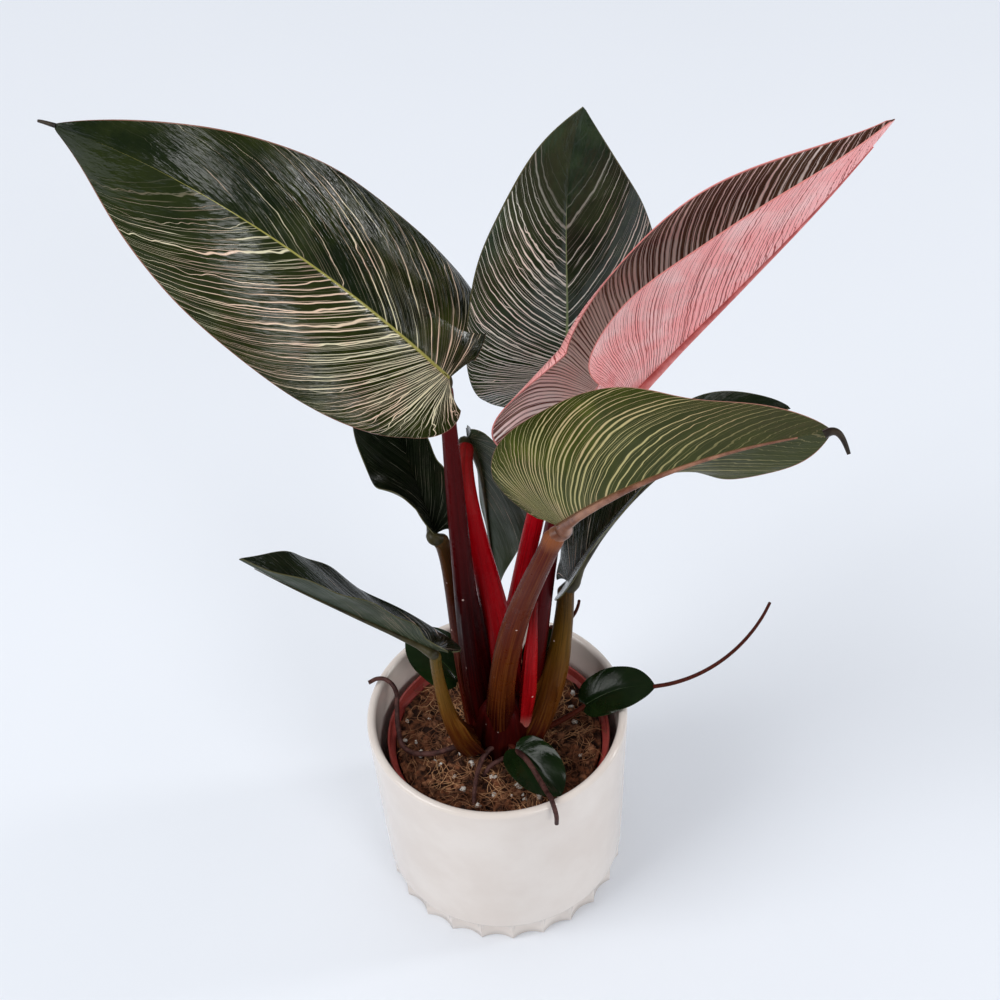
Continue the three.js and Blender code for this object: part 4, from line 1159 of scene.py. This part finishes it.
# %% What a face is made of
# Pairs are for the left half and the right half, but gloss is the least and the most roughness. Widths are
# shares of a lane, or of half the blade.
FACE = {
    "ground": (seen(24, 33, 13), seen(24, 33, 13)),
    "ground_light": seen(46, 56, 22),
    "tip_tint": seen(40, 52, 34),
    "tip_share": 0.3,
    "cream": seen(234, 226, 190),
    "pink": seen(242, 192, 174),
    "pink_share": 0.6,
    "lanes": 58.0,
    "width": 0.08,
    "most": 0.17,
    "presence": (0.62, 0.5),
    "bold_lanes": 20.0,
    "bold_width": 0.036,
    "bold_presence": (0.5, 0.4),
    "hair_lanes": 150.0,
    "hair_width": 0.17,
    "hair_presence": 0.62,
    "hair": (0.4, 0.2),
    "break_up": 2.0,
    "wiggle": 0.4,
    "line_end": 0.93,
    "line_rest": 0.0,
    "midrib": seen(150, 150, 70),
    "midrib_width": 0.011,
    "midrib_end": 0.8,
    "margin": seen(84, 82, 56),
    "margin_width": 0.012,
    "gloss": (0.1, 0.22),
    "specular": 0.28,
    "quilt": 0.5,
    "quilt_lanes": 46.0,
    "seed": 0.0,
}
BOLD_SEED = 5.3
HAIR_SEED = 2.1
LINE_FADE = 0.14
print("a face has", len(FACE), "settings")

# %% [markdown]
# The colours are laid one over the other, as the real ones are: the ground first, then the lines, the
# midrib and the margin. Each layer needs a mask and a colour, so a small function inside the big one gives
# the masks of the lines. The relief comes last, because only light shows it.

# %% A leaf's face
def leaf_face(name, **changes):
    """The material of one face of a blade."""
    look = {**FACE, **changes}
    material, tree, shader = new_look(name, look["specular"])
    at = use(tree, leaf_map, {})
    across, along, right_half = at["Across"], at["Along"], at["Right half"]
    place = place_of(tree)

    def of_half(pair):
        return maths(tree, "MULTIPLY_ADD", right_half, pair[1] - pair[0], pair[0])

    def layer(lanes, width, presence, seed):
        return use(tree, stripes, {
            "Across": across, "Along": along, "Right half": right_half, "Break up": look["break_up"],
            "Lanes": lanes, "Width": width, "Most": look["most"], "Presence": presence,
            "Wiggle": look["wiggle"], "Seed": look["seed"] + seed})["Line"]

    hair = layer(look["hair_lanes"], look["hair_width"], look["hair_presence"], HAIR_SEED)
    fine = layer(look["lanes"], look["width"], of_half(look["presence"]), 0.0)
    bold = layer(look["bold_lanes"], look["bold_width"], of_half(look["bold_presence"]), BOLD_SEED)
    color = leaf_ground(tree, look, along, right_half, place)

    pinkness = ramp(tree, grain(tree, place, 28.0, 2.0), 0.42, 0.6, 0.0, look["pink_share"])
    line_color = blend(tree, pinkness, look["cream"], look["pink"])
    fading = ramp(tree, along, look["line_end"] - LINE_FADE, look["line_end"], 1.0, look["line_rest"])
    faint = maths(tree, "MULTIPLY", fading, maths(tree, "MULTIPLY", hair, of_half(look["hair"])))
    strong = maths(tree, "MULTIPLY", fading, maths(tree, "MAXIMUM", fine, bold))
    color = blend(tree, faint, color, line_color)
    color = blend(tree, strong, color, line_color)
    color = blend(tree, rib_mask(tree, look, across, along), color, look["midrib"])
    edge_start = 1 - 1.6 * look["margin_width"]
    edge = ramp(tree, across, edge_start, edge_start + look["margin_width"])
    color = blend(tree, edge, color, look["margin"])

    roughness = uneven(tree, 90.0, *look["gloss"])
    height = leaf_relief(tree, look, at, fine)
    finish(tree, shader, color, roughness, height, depth=1.0)
    return material


def leaf_ground(tree, look, along, right_half, place):
    """The ground: a colour for each half, mottled, and paler towards the tip. Where one half is lighter, that
    is painted light.
    """
    mottle = grain(tree, place, 55.0, 5.0, 0.6)
    ground = blend(tree, right_half, *look["ground"])
    ground = blend(tree, ramp(tree, mottle, 0.35, 0.75), ground, look["ground_light"])
    return blend(tree, ramp(tree, along, 0.45, 0.9, 0.0, look["tip_share"]), ground, look["tip_tint"])


def rib_mask(tree, look, across, along):
    """Where the midrib shows: a line that narrows towards the tip."""
    vein_end = ramp(tree, along, look["midrib_end"], look["midrib_end"] + 0.2, 1.0, 0.0)
    rib_width = maths(tree, "MAXIMUM", maths(tree, "MULTIPLY", vein_end, look["midrib_width"]), 0.0005)
    near_rib = ramp(tree, maths(tree, "DIVIDE", across, rib_width), 1.3, 0.6)
    return maths(tree, "MULTIPLY", near_rib, ramp(tree, vein_end, 0.0, 0.1))


def leaf_relief(tree, look, at, fine):
    """The relief: a quilting between the side veins, sunken lines and a fine skin."""
    quilt_place = combine(tree, maths(tree, "MULTIPLY", at["Along"], look["quilt_lanes"]),
                          maths(tree, "MULTIPLY", at["Across"], 3.0),
                          maths(tree, "MULTIPLY", at["Right half"], 9.0))
    quilt = grain(tree, quilt_place, 1.0, 3.0, 0.6)
    skin = grain(tree, place_of(tree), 1500.0, 2.0)
    height = maths(tree, "MULTIPLY_ADD", quilt, look["quilt"], maths(tree, "MULTIPLY", fine, -0.05))
    return maths(tree, "MULTIPLY_ADD", skin, 0.02, height)


# %% [markdown]
# Now the faces of this plant. The large leaves are deep green with cream to pink lines, the young one is
# pink with dark lines outside, and the one that shows its underside is olive. Leaves in the shade show few
# lines, and the small ones none. Each face only says where it differs from the common one.

# %% Upper and under faces
def alike(*color):
    """One colour for both halves."""
    return seen(*color), seen(*color)


# This leaf's left half is painted lighter than its right half: a painted sheen on the half that catches the
# light.
face_left = leaf_face(
    "face of the left leaf",
    ground=(seen(32, 38, 12), seen(15, 23, 7)), ground_light=seen(48, 54, 20),
    presence=(0.86, 0.46), bold_presence=(0.95, 0.6), hair=(0.45, 0.15),
    midrib=seen(166, 160, 84), margin=seen(150, 106, 90), quilt=0.8, seed=1.0)
# This leaf's left half is painted lighter than its right half: a painted sheen where it catches the light.
face_back = leaf_face(
    "face of the back leaf",
    ground=(seen(34, 48, 26), seen(20, 34, 18)), ground_light=seen(54, 70, 42),
    cream=seen(250, 250, 234), pink_share=0.3, width=0.26,
    presence=(0.9, 0.66), bold_presence=(0.6, 0.45), hair=(0.5, 0.25),
    midrib=seen(142, 160, 110), seed=2.0)
inside_pink = leaf_face(
    "inside of the pink leaf",
    ground=alike(106, 58, 50), ground_light=seen(130, 96, 78), tip_share=0.4,
    cream=seen(255, 236, 228), pink=seen(255, 200, 194), lanes=84.0, width=0.46, most=0.42,
    presence=(1.2, 1.2), hair=(0.6, 0.6), hair_presence=0.9, break_up=1.6, line_end=1.1,
    midrib=seen(206, 130, 118), margin=seen(210, 130, 124), specular=0.12, seed=3.0)
outside_pink = leaf_face(
    "outside of the pink leaf",
    ground=alike(254, 170, 168), ground_light=seen(255, 208, 205), tip_share=0.0,
    cream=seen(158, 58, 56), pink=seen(116, 34, 32), lanes=84.0, width=0.2,
    presence=(0.95, 0.95), bold_presence=(0.3, 0.3), hair=(0.8, 0.8), hair_presence=1.0,
    break_up=2.6, wiggle=0.8, line_end=1.1,
    midrib=seen(240, 150, 146), margin=seen(236, 150, 146), gloss=(0.4, 0.55), specular=0.12, seed=4.0)
inside_front = leaf_face("face of the front leaf", seed=5.0)
# The grey-olive tint over the outer part towards the tip of this underside is a painted sheen.
outside_front = leaf_face(
    "underside of the front leaf",
    ground=alike(44, 50, 4), ground_light=seen(72, 80, 12), tip_tint=seen(62, 66, 44), tip_share=0.8,
    cream=seen(176, 166, 116), pink=seen(190, 160, 126), pink_share=0.5, lanes=52.0, width=0.19, most=0.22,
    presence=(1.1, 1.1), hair=(0.4, 0.4), break_up=1.4, wiggle=0.6, line_end=0.92, line_rest=0.25,
    midrib=seen(110, 80, 52), margin=seen(170, 122, 106), gloss=(0.4, 0.58), specular=0.08, seed=6.0)
face_dark = leaf_face(
    "face of a shaded leaf",
    ground=alike(13, 19, 9), ground_light=seen(26, 34, 17), cream=seen(160, 160, 140),
    presence=(0.45, 0.45), bold_presence=(0.2, 0.2), hair=(0.12, 0.12),
    midrib=seen(58, 66, 38), specular=0.18, seed=7.0)
under_dark = leaf_face(
    "underside of a shaded leaf",
    ground=alike(40, 50, 32), ground_light=seen(56, 66, 44), cream=seen(130, 134, 110),
    presence=(0.5, 0.5), bold_presence=(0.2, 0.2), hair=(0.15, 0.15),
    midrib=seen(96, 84, 56), gloss=(0.4, 0.55), specular=0.2, seed=8.0)
UNSTRIPED = {"presence": (-1.0, -1.0), "bold_presence": (-1.0, -1.0), "hair": (0.0, 0.0)}
face_small = leaf_face(
    "face of a small leaf",
    ground=alike(12, 24, 8), ground_light=seen(24, 42, 16), midrib=seen(48, 64, 34), margin=seen(44, 50, 28),
    quilt=0.12, quilt_lanes=14.0, seed=9.0, **UNSTRIPED)
under_small = leaf_face(
    "underside of a small leaf",
    ground=alike(46, 56, 34), ground_light=seen(60, 70, 44), midrib=seen(86, 82, 52), margin=seen(70, 60, 40),
    gloss=(0.4, 0.55), specular=0.2, seed=10.0, **UNSTRIPED)

FACES = {
    "leaf_left": (face_left, under_dark), "leaf_back": (face_back, under_dark),
    "leaf_pink": (inside_pink, outside_pink), "leaf_front": (inside_front, outside_front),
}
print(len(FACES), "leaves have faces of their own")


# %% [markdown]
# ### Stalks, crown and roots
# A stalk's colour changes from its foot to its top, and the streaks are a second colour over it. Tiny pale
# specks of dried sap lie on all of them.

# %% Skins of stalks
# The near black of the painted shade in a stalk's grooves.
PAINTED_GROOVE_SHADE = seen(18, 3, 2)
SPECK = seen(230, 200, 190)


def stalk_skin(name, stops, streak, streak_share, seed, fineness=7.0, stretch=4.0, gloss=(0.24, 0.42)):
    """The skin of a stalk: colours at stops along it, streaks of one more colour, painted shade in the
    grooves.
    """
    material, tree, shader = new_look(name, specular=0.08)
    grown = use(tree, strands, {"Fineness": fineness, "Stretch": stretch, "Seed": seed})
    color = stops[0][1]
    for (start, _), (end, tint) in zip(stops, stops[1:]):
        color = blend(tree, ramp(tree, grown["Along"], start, end), color, tint)
    streak_mask = maths(tree, "MULTIPLY", ramp(tree, grown["Streak"], 0.46, 0.66), streak_share)
    color = blend(tree, streak_mask, color, streak)
    # Painted shade: the grooves between the strands, where the relief sinks, are darkened.
    shade = ramp(tree, grown["Streak"], 0.25, 0.5, 0.5, 0.0)
    color = blend(tree, shade, color, PAINTED_GROOVE_SHADE)
    color = blend(tree, maths(tree, "MULTIPLY", grown["Speck"], 0.75), color, SPECK)
    roughness = uneven(tree, 120.0, *gloss)
    height = maths(tree, "MULTIPLY_ADD", grown["Speck"], 0.1, maths(tree, "MULTIPLY", grown["Streak"], 0.35))
    finish(tree, shader, color, roughness, height, depth=0.8)
    return material


# %% [markdown]
# The stalks differ as siblings do. The ones that grew first have turned brown and olive, the later ones are
# red, and all of them are darker at the foot. The colours are listed as stops from foot to top, each with
# its place as a share of the length.

# %% The plant's stalks
CRIMSON = seen(154, 2, 14)
MAROON = seen(62, 5, 4)
DEEP = seen(40, 4, 3)
BRIGHT_GLOSS = (0.2, 0.34)
SKINS = {
    "leaf_front": stalk_skin(
        "brown stalk",
        [(0.1, seen(48, 6, 4)), (0.3, seen(76, 30, 8)), (0.6, seen(84, 26, 10)), (0.94, seen(80, 20, 8)),
         (0.99, seen(140, 84, 56))],
        seen(118, 66, 24), 0.5, seed=1.0, fineness=9.0, stretch=3.0),
    "leaf_right": stalk_skin(
        "olive brown stalk",
        [(0.1, seen(60, 16, 8)), (0.35, seen(92, 50, 14)), (0.7, seen(88, 62, 16)), (0.98, seen(66, 48, 20))],
        seen(112, 74, 26), 0.5, seed=2.0),
    "leaf_low_left": stalk_skin(
        "stalk of the low leaf",
        [(0.05, seen(58, 14, 8)), (0.3, seen(84, 40, 12)), (0.7, seen(96, 66, 18)), (1.0, seen(84, 70, 30))],
        seen(124, 84, 30), 0.5, seed=3.0),
    "leaf_hanging": stalk_skin(
        "bright red stalk",
        [(0.1, MAROON), (0.3, seen(128, 4, 10)), (0.7, CRIMSON), (1.0, seen(112, 20, 18))],
        seen(168, 12, 22), 0.4, seed=4.0, gloss=BRIGHT_GLOSS),
    "leaf_left": stalk_skin(
        "maroon stalk",
        [(0.1, DEEP), (0.3, seen(40, 2, 3)), (0.75, seen(74, 2, 5)), (1.0, seen(110, 6, 10))],
        seen(84, 6, 6), 0.4, seed=5.0),
    "leaf_pink": stalk_skin(
        "wine red stalk",
        [(0.1, MAROON), (0.5, seen(62, 3, 7)), (1.0, seen(110, 10, 14))],
        seen(92, 8, 12), 0.4, seed=6.0),
    "leaf_rear_left": stalk_skin(
        "shaded brown stalk",
        [(0.1, MAROON), (0.6, seen(76, 26, 14)), (0.9, seen(74, 46, 16)), (1.0, seen(84, 62, 34))],
        seen(100, 50, 22), 0.4, seed=7.0),
    "leaf_back": stalk_skin(
        "crimson stalk",
        [(0.1, MAROON), (0.35, seen(170, 4, 16)), (0.8, seen(204, 5, 26)), (1.0, seen(150, 24, 26))],
        seen(214, 18, 34), 0.4, seed=8.0, gloss=BRIGHT_GLOSS),
}
sheath_skin = stalk_skin(
    "sheath",
    [(0.0, seen(212, 130, 118)), (0.16, seen(150, 10, 16)), (0.6, seen(150, 4, 12)), (1.0, MAROON)],
    seen(190, 30, 34), 0.4, seed=9.0, gloss=BRIGHT_GLOSS)
crown_skin = stalk_skin(
    "crown skin",
    [(0.3, seen(34, 6, 4)), (0.6, seen(52, 6, 5)), (0.95, seen(70, 8, 8))],
    seen(84, 24, 12), 0.35, seed=10.0, fineness=8.0, stretch=3.0, gloss=(0.35, 0.55))
small_skin = stalk_skin(
    "small stalk",
    [(0.0, seen(74, 26, 18)), (1.0, seen(60, 34, 20))],
    seen(96, 44, 30), 0.4, seed=11.0)
print(len(SKINS) + 3, "skins of stalks")

# %% [markdown]
# Roots, soil, perlite, bark and midribs have no pattern of their own, only a mottling and a coarse relief.
# One function makes all of them, so that each is a line with two colours, a grain and a depth. The roots are
# dull and brown.

# %% Roots
def rough_look(name, dark, light, scale, roughness, depth, threshold=(0.35, 0.65)):
    """Two mottled colours with a coarse relief."""
    material, tree, shader = new_look(name, specular=0.3)
    cloud = grain(tree, place_of(tree), scale, 5.0, 0.62)
    color = blend(tree, ramp(tree, cloud, *threshold), dark, light)
    dullness = ramp(tree, cloud, 0.3, 0.7, roughness - 0.12, roughness)
    relief = grain(tree, place_of(tree), 3 * scale, 4.0, 0.6)
    finish(tree, shader, color, dullness, relief, depth=depth)
    return material


root_skin = rough_look("root skin", seen(52, 26, 24), seen(92, 58, 52), 260.0, 0.62, 0.6)

# %% [markdown]
# ### Pots and soil
# The glaze is a warm white that has run a little thinner here and there, with a few pin-holes. Its gloss
# shows the windows, so its relief is very slight. The nursery pot is dark red plastic with fine scratches.

# %% Glaze and plastic
glaze, tree, shader = new_look("warm white glaze")
cloud = grain(tree, place_of(tree), 22.0, 4.0, 0.55)
color = blend(tree, ramp(tree, cloud, 0.35, 0.7), seen(224, 213, 204), seen(232, 223, 215))
pin = rare_dots(tree, 90.0, 1, 0.93, 0.035, 0.015)
color = blend(tree, maths(tree, "MULTIPLY", pin, 0.7), color, seen(120, 104, 92))
roughness = uneven(tree, 60.0, 0.1, 0.18)
waves = grain(tree, place_of(tree), 30.0, 2.0)
height = maths(tree, "MULTIPLY_ADD", pin, -0.3, waves)
finish(tree, shader, color, roughness, height, depth=0.1)
give(pot, glaze)

red_plastic, tree, shader = new_look("dark red plastic")
cloud = grain(tree, place_of(tree), 70.0, 4.0)
color = blend(tree, ramp(tree, cloud, 0.35, 0.7), seen(156, 56, 50), seen(178, 76, 68))
scratches = grain(tree, place_of(tree), 420.0, 3.0, 0.7, 1.5)
finish(tree, shader, color, ramp(tree, scratches, 0.3, 0.7, 0.36, 0.56), scratches, depth=0.2)
give(nursery, red_plastic)
print("glaze:", len(glaze.node_tree.nodes), "nodes")

# %% [markdown]
# Moist peat is nearly black in its hollows and brown on its lumps. Perlite is white and chalky, bark is
# reddish and coir is golden. The colours are kept apart in five materials, because a single one would make
# every grain look like the same stuff.

# %% Soil, perlite, bark and coir
peat_look = rough_look("moist peat", seen(42, 21, 12), seen(146, 90, 60), 190.0, 0.95, 2.5, (0.38, 0.72))
crumb_look = rough_look("crumb of peat", seen(60, 33, 20), seen(162, 110, 78), 120.0, 0.95, 1.8, (0.36, 0.7))
perlite_look = rough_look("perlite", seen(196, 186, 174), seen(240, 236, 228), 500.0, 0.8, 0.8)
bark_look = rough_look("bark", seen(58, 34, 22), seen(122, 84, 58), 240.0, 0.85, 1.2)
coir_look = rough_look("coir", seen(120, 74, 48), seen(206, 156, 112), 60.0, 0.75, 0.3, (0.4, 0.62))
give(ground, peat_look)
for kind, look in ((peat, crumb_look), (chips, bark_look), (perlite, perlite_look), (fibres, coir_look)):
    for piece in kind:
        give(piece, look)
print("soil materials given to", len(peat) + len(chips) + len(perlite) + len(fibres), "grains and fibres")

# %% [markdown]
# The raised midrib under a leaf has the colour of its stalk rather than of its blade. The pink leaf's is
# pink, the front leaf's is reddish brown, and the others are olive. Two leaves end in a dried, dark thread.

# %% Midribs and leaf tips
dark_rib = rough_look("olive midrib", seen(40, 36, 20), seen(68, 62, 36), 90.0, 0.5, 0.2)
pink_rib = rough_look("pink midrib", seen(196, 98, 94), seen(232, 142, 138), 90.0, 0.5, 0.2)
front_rib = rough_look("red brown midrib", seen(104, 62, 44), seen(158, 112, 88), 90.0, 0.45, 0.2)
dark_tip = rough_look("dark leaf tip", seen(30, 22, 18), seen(58, 48, 34), 200.0, 0.5, 0.2)
RIB_LOOKS = {"leaf_pink": pink_rib, "leaf_front": front_rib}
TAIL_RADIUS = {"leaf_front": (1.6, 0.7), "leaf_left": (1.0, 0.6)}
print(len(RIB_LOOKS), "midribs have a look of their own")

# %% [markdown]
# Last, each part gets its materials, and the parts of one leaf are joined. A blade and a stalk stay apart,
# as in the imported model, so that someone who reuses the plant can change a leaf without its stalk. Joining
# comes after the materials, because each part keeps its own.

for name, leaf in LEAVES.items():
    upper, under = FACES.get(name, (face_dark, under_dark))
    give(blades[name], upper, under)
    give(ribs[name], RIB_LOOKS.get(name, dark_rib))
    give(stalks[name], SKINS[name])
    parts = [blades[name], ribs[name]]
    if "tail" in leaf:
        parts.append(thread_of(f"{name}_tail", leaf["tail"], TAIL_RADIUS[name], 8))
        give(parts[-1], dark_tip)
    whole = join(parts, f"{name}_whole")
    hand_over(whole, f"{name}_blade")
    hand_over(stalks[name], f"{name}_stalk")
for name in SMALL_LEAVES:
    give(small_blades[name], face_small, under_small)
    give(small_stems[name], small_skin)
    whole = join([small_blades[name], small_stems[name]], f"{name}_whole")
    hand_over(whole, name)
give(sheath, sheath_skin)
hand_over(sheath, "new_leaf_sheath")
give(crown, crown_skin)
hand_over(crown, "crown")
for name, piece in roots.items():
    give(piece, root_skin)
    hand_over(piece, name)
soil = join([ground, *peat, *chips, *perlite, *fibres], "soil_with_crumbs")
hand_over(soil, "soil")

# %% [markdown]
# ## Floor and light
# The photograph has a pale ground without an edge and a soft shadow that falls to the back and the right. A
# large window at the left makes both. The leaves are glossy, so most of what they show is what stands round
# them: the pale floor, that window, and two smaller ones at the right and in front.

# %% Floor
FLOOR_SIZE = 8
bpy.ops.object.select_all(action="DESELECT")
bpy.ops.mesh.primitive_grid_add(x_subdivisions=8, y_subdivisions=8, size=FLOOR_SIZE)
floor = bpy.context.object
floor.name = "floor"
paper, tree, shader = new_look("pale paper", specular=0.1)
fleck = grain(tree, place_of(tree), 3.0, 2.0)
color = blend(tree, fleck, seen(232, 236, 242), seen(234, 238, 244))
finish(tree, shader, color, ramp(tree, fleck, 0.0, 1.0, 0.8, 0.9))
give(floor, paper)
print("floor of", FLOOR_SIZE, "metres")


# %% [markdown]
# Four flat lights make the room. The ceiling fills the shadows, but it is kept out of reflections, because
# a white ceiling would veil the dark leaves. The windows are small enough to leave separate glints on them.

# %% Light
def soft_light(name, place, aim, size, power, mirrored=True):
    """A flat, even white light of this size in metres. It can be kept out of reflections."""
    bpy.ops.object.light_add(type="AREA", location=place)
    light = bpy.context.object
    light.name = name
    light.data.shape = "RECTANGLE"
    light.data.size, light.data.size_y = size
    light.data.energy = power
    light.rotation_euler = (Vector(aim) - Vector(place)).to_track_quat("-Z", "Y").to_euler()
    light.visible_glossy = mirrored


soft_light("left window", (-2.8, -1.0, 3.0), (0, 0, 0.2), (2.4, 2.4), 84)
soft_light("right window", (2.7, 0.3, 1.2), (0, 0, 0.38), (0.4, 0.6), 14)
soft_light("front window", (1.5, -2.6, 1.6), (0.05, 0, 0.3), (1.2, 1.0), 24)
soft_light("ceiling", (0, 1.6, 5.0), (0, 1.6, 0), (6.0, 6.0), 96, mirrored=False)
world = bpy.data.worlds.new("dim room")
bpy.context.scene.world = world
world.use_nodes = True
world.node_tree.nodes["Background"].inputs["Color"].default_value = seen(240, 243, 250)
world.node_tree.nodes["Background"].inputs["Strength"].default_value = 0.42
world.cycles_visibility.glossy = False
bpy.context.scene.view_settings.view_transform = "Standard"
print("four lights and a dim room")
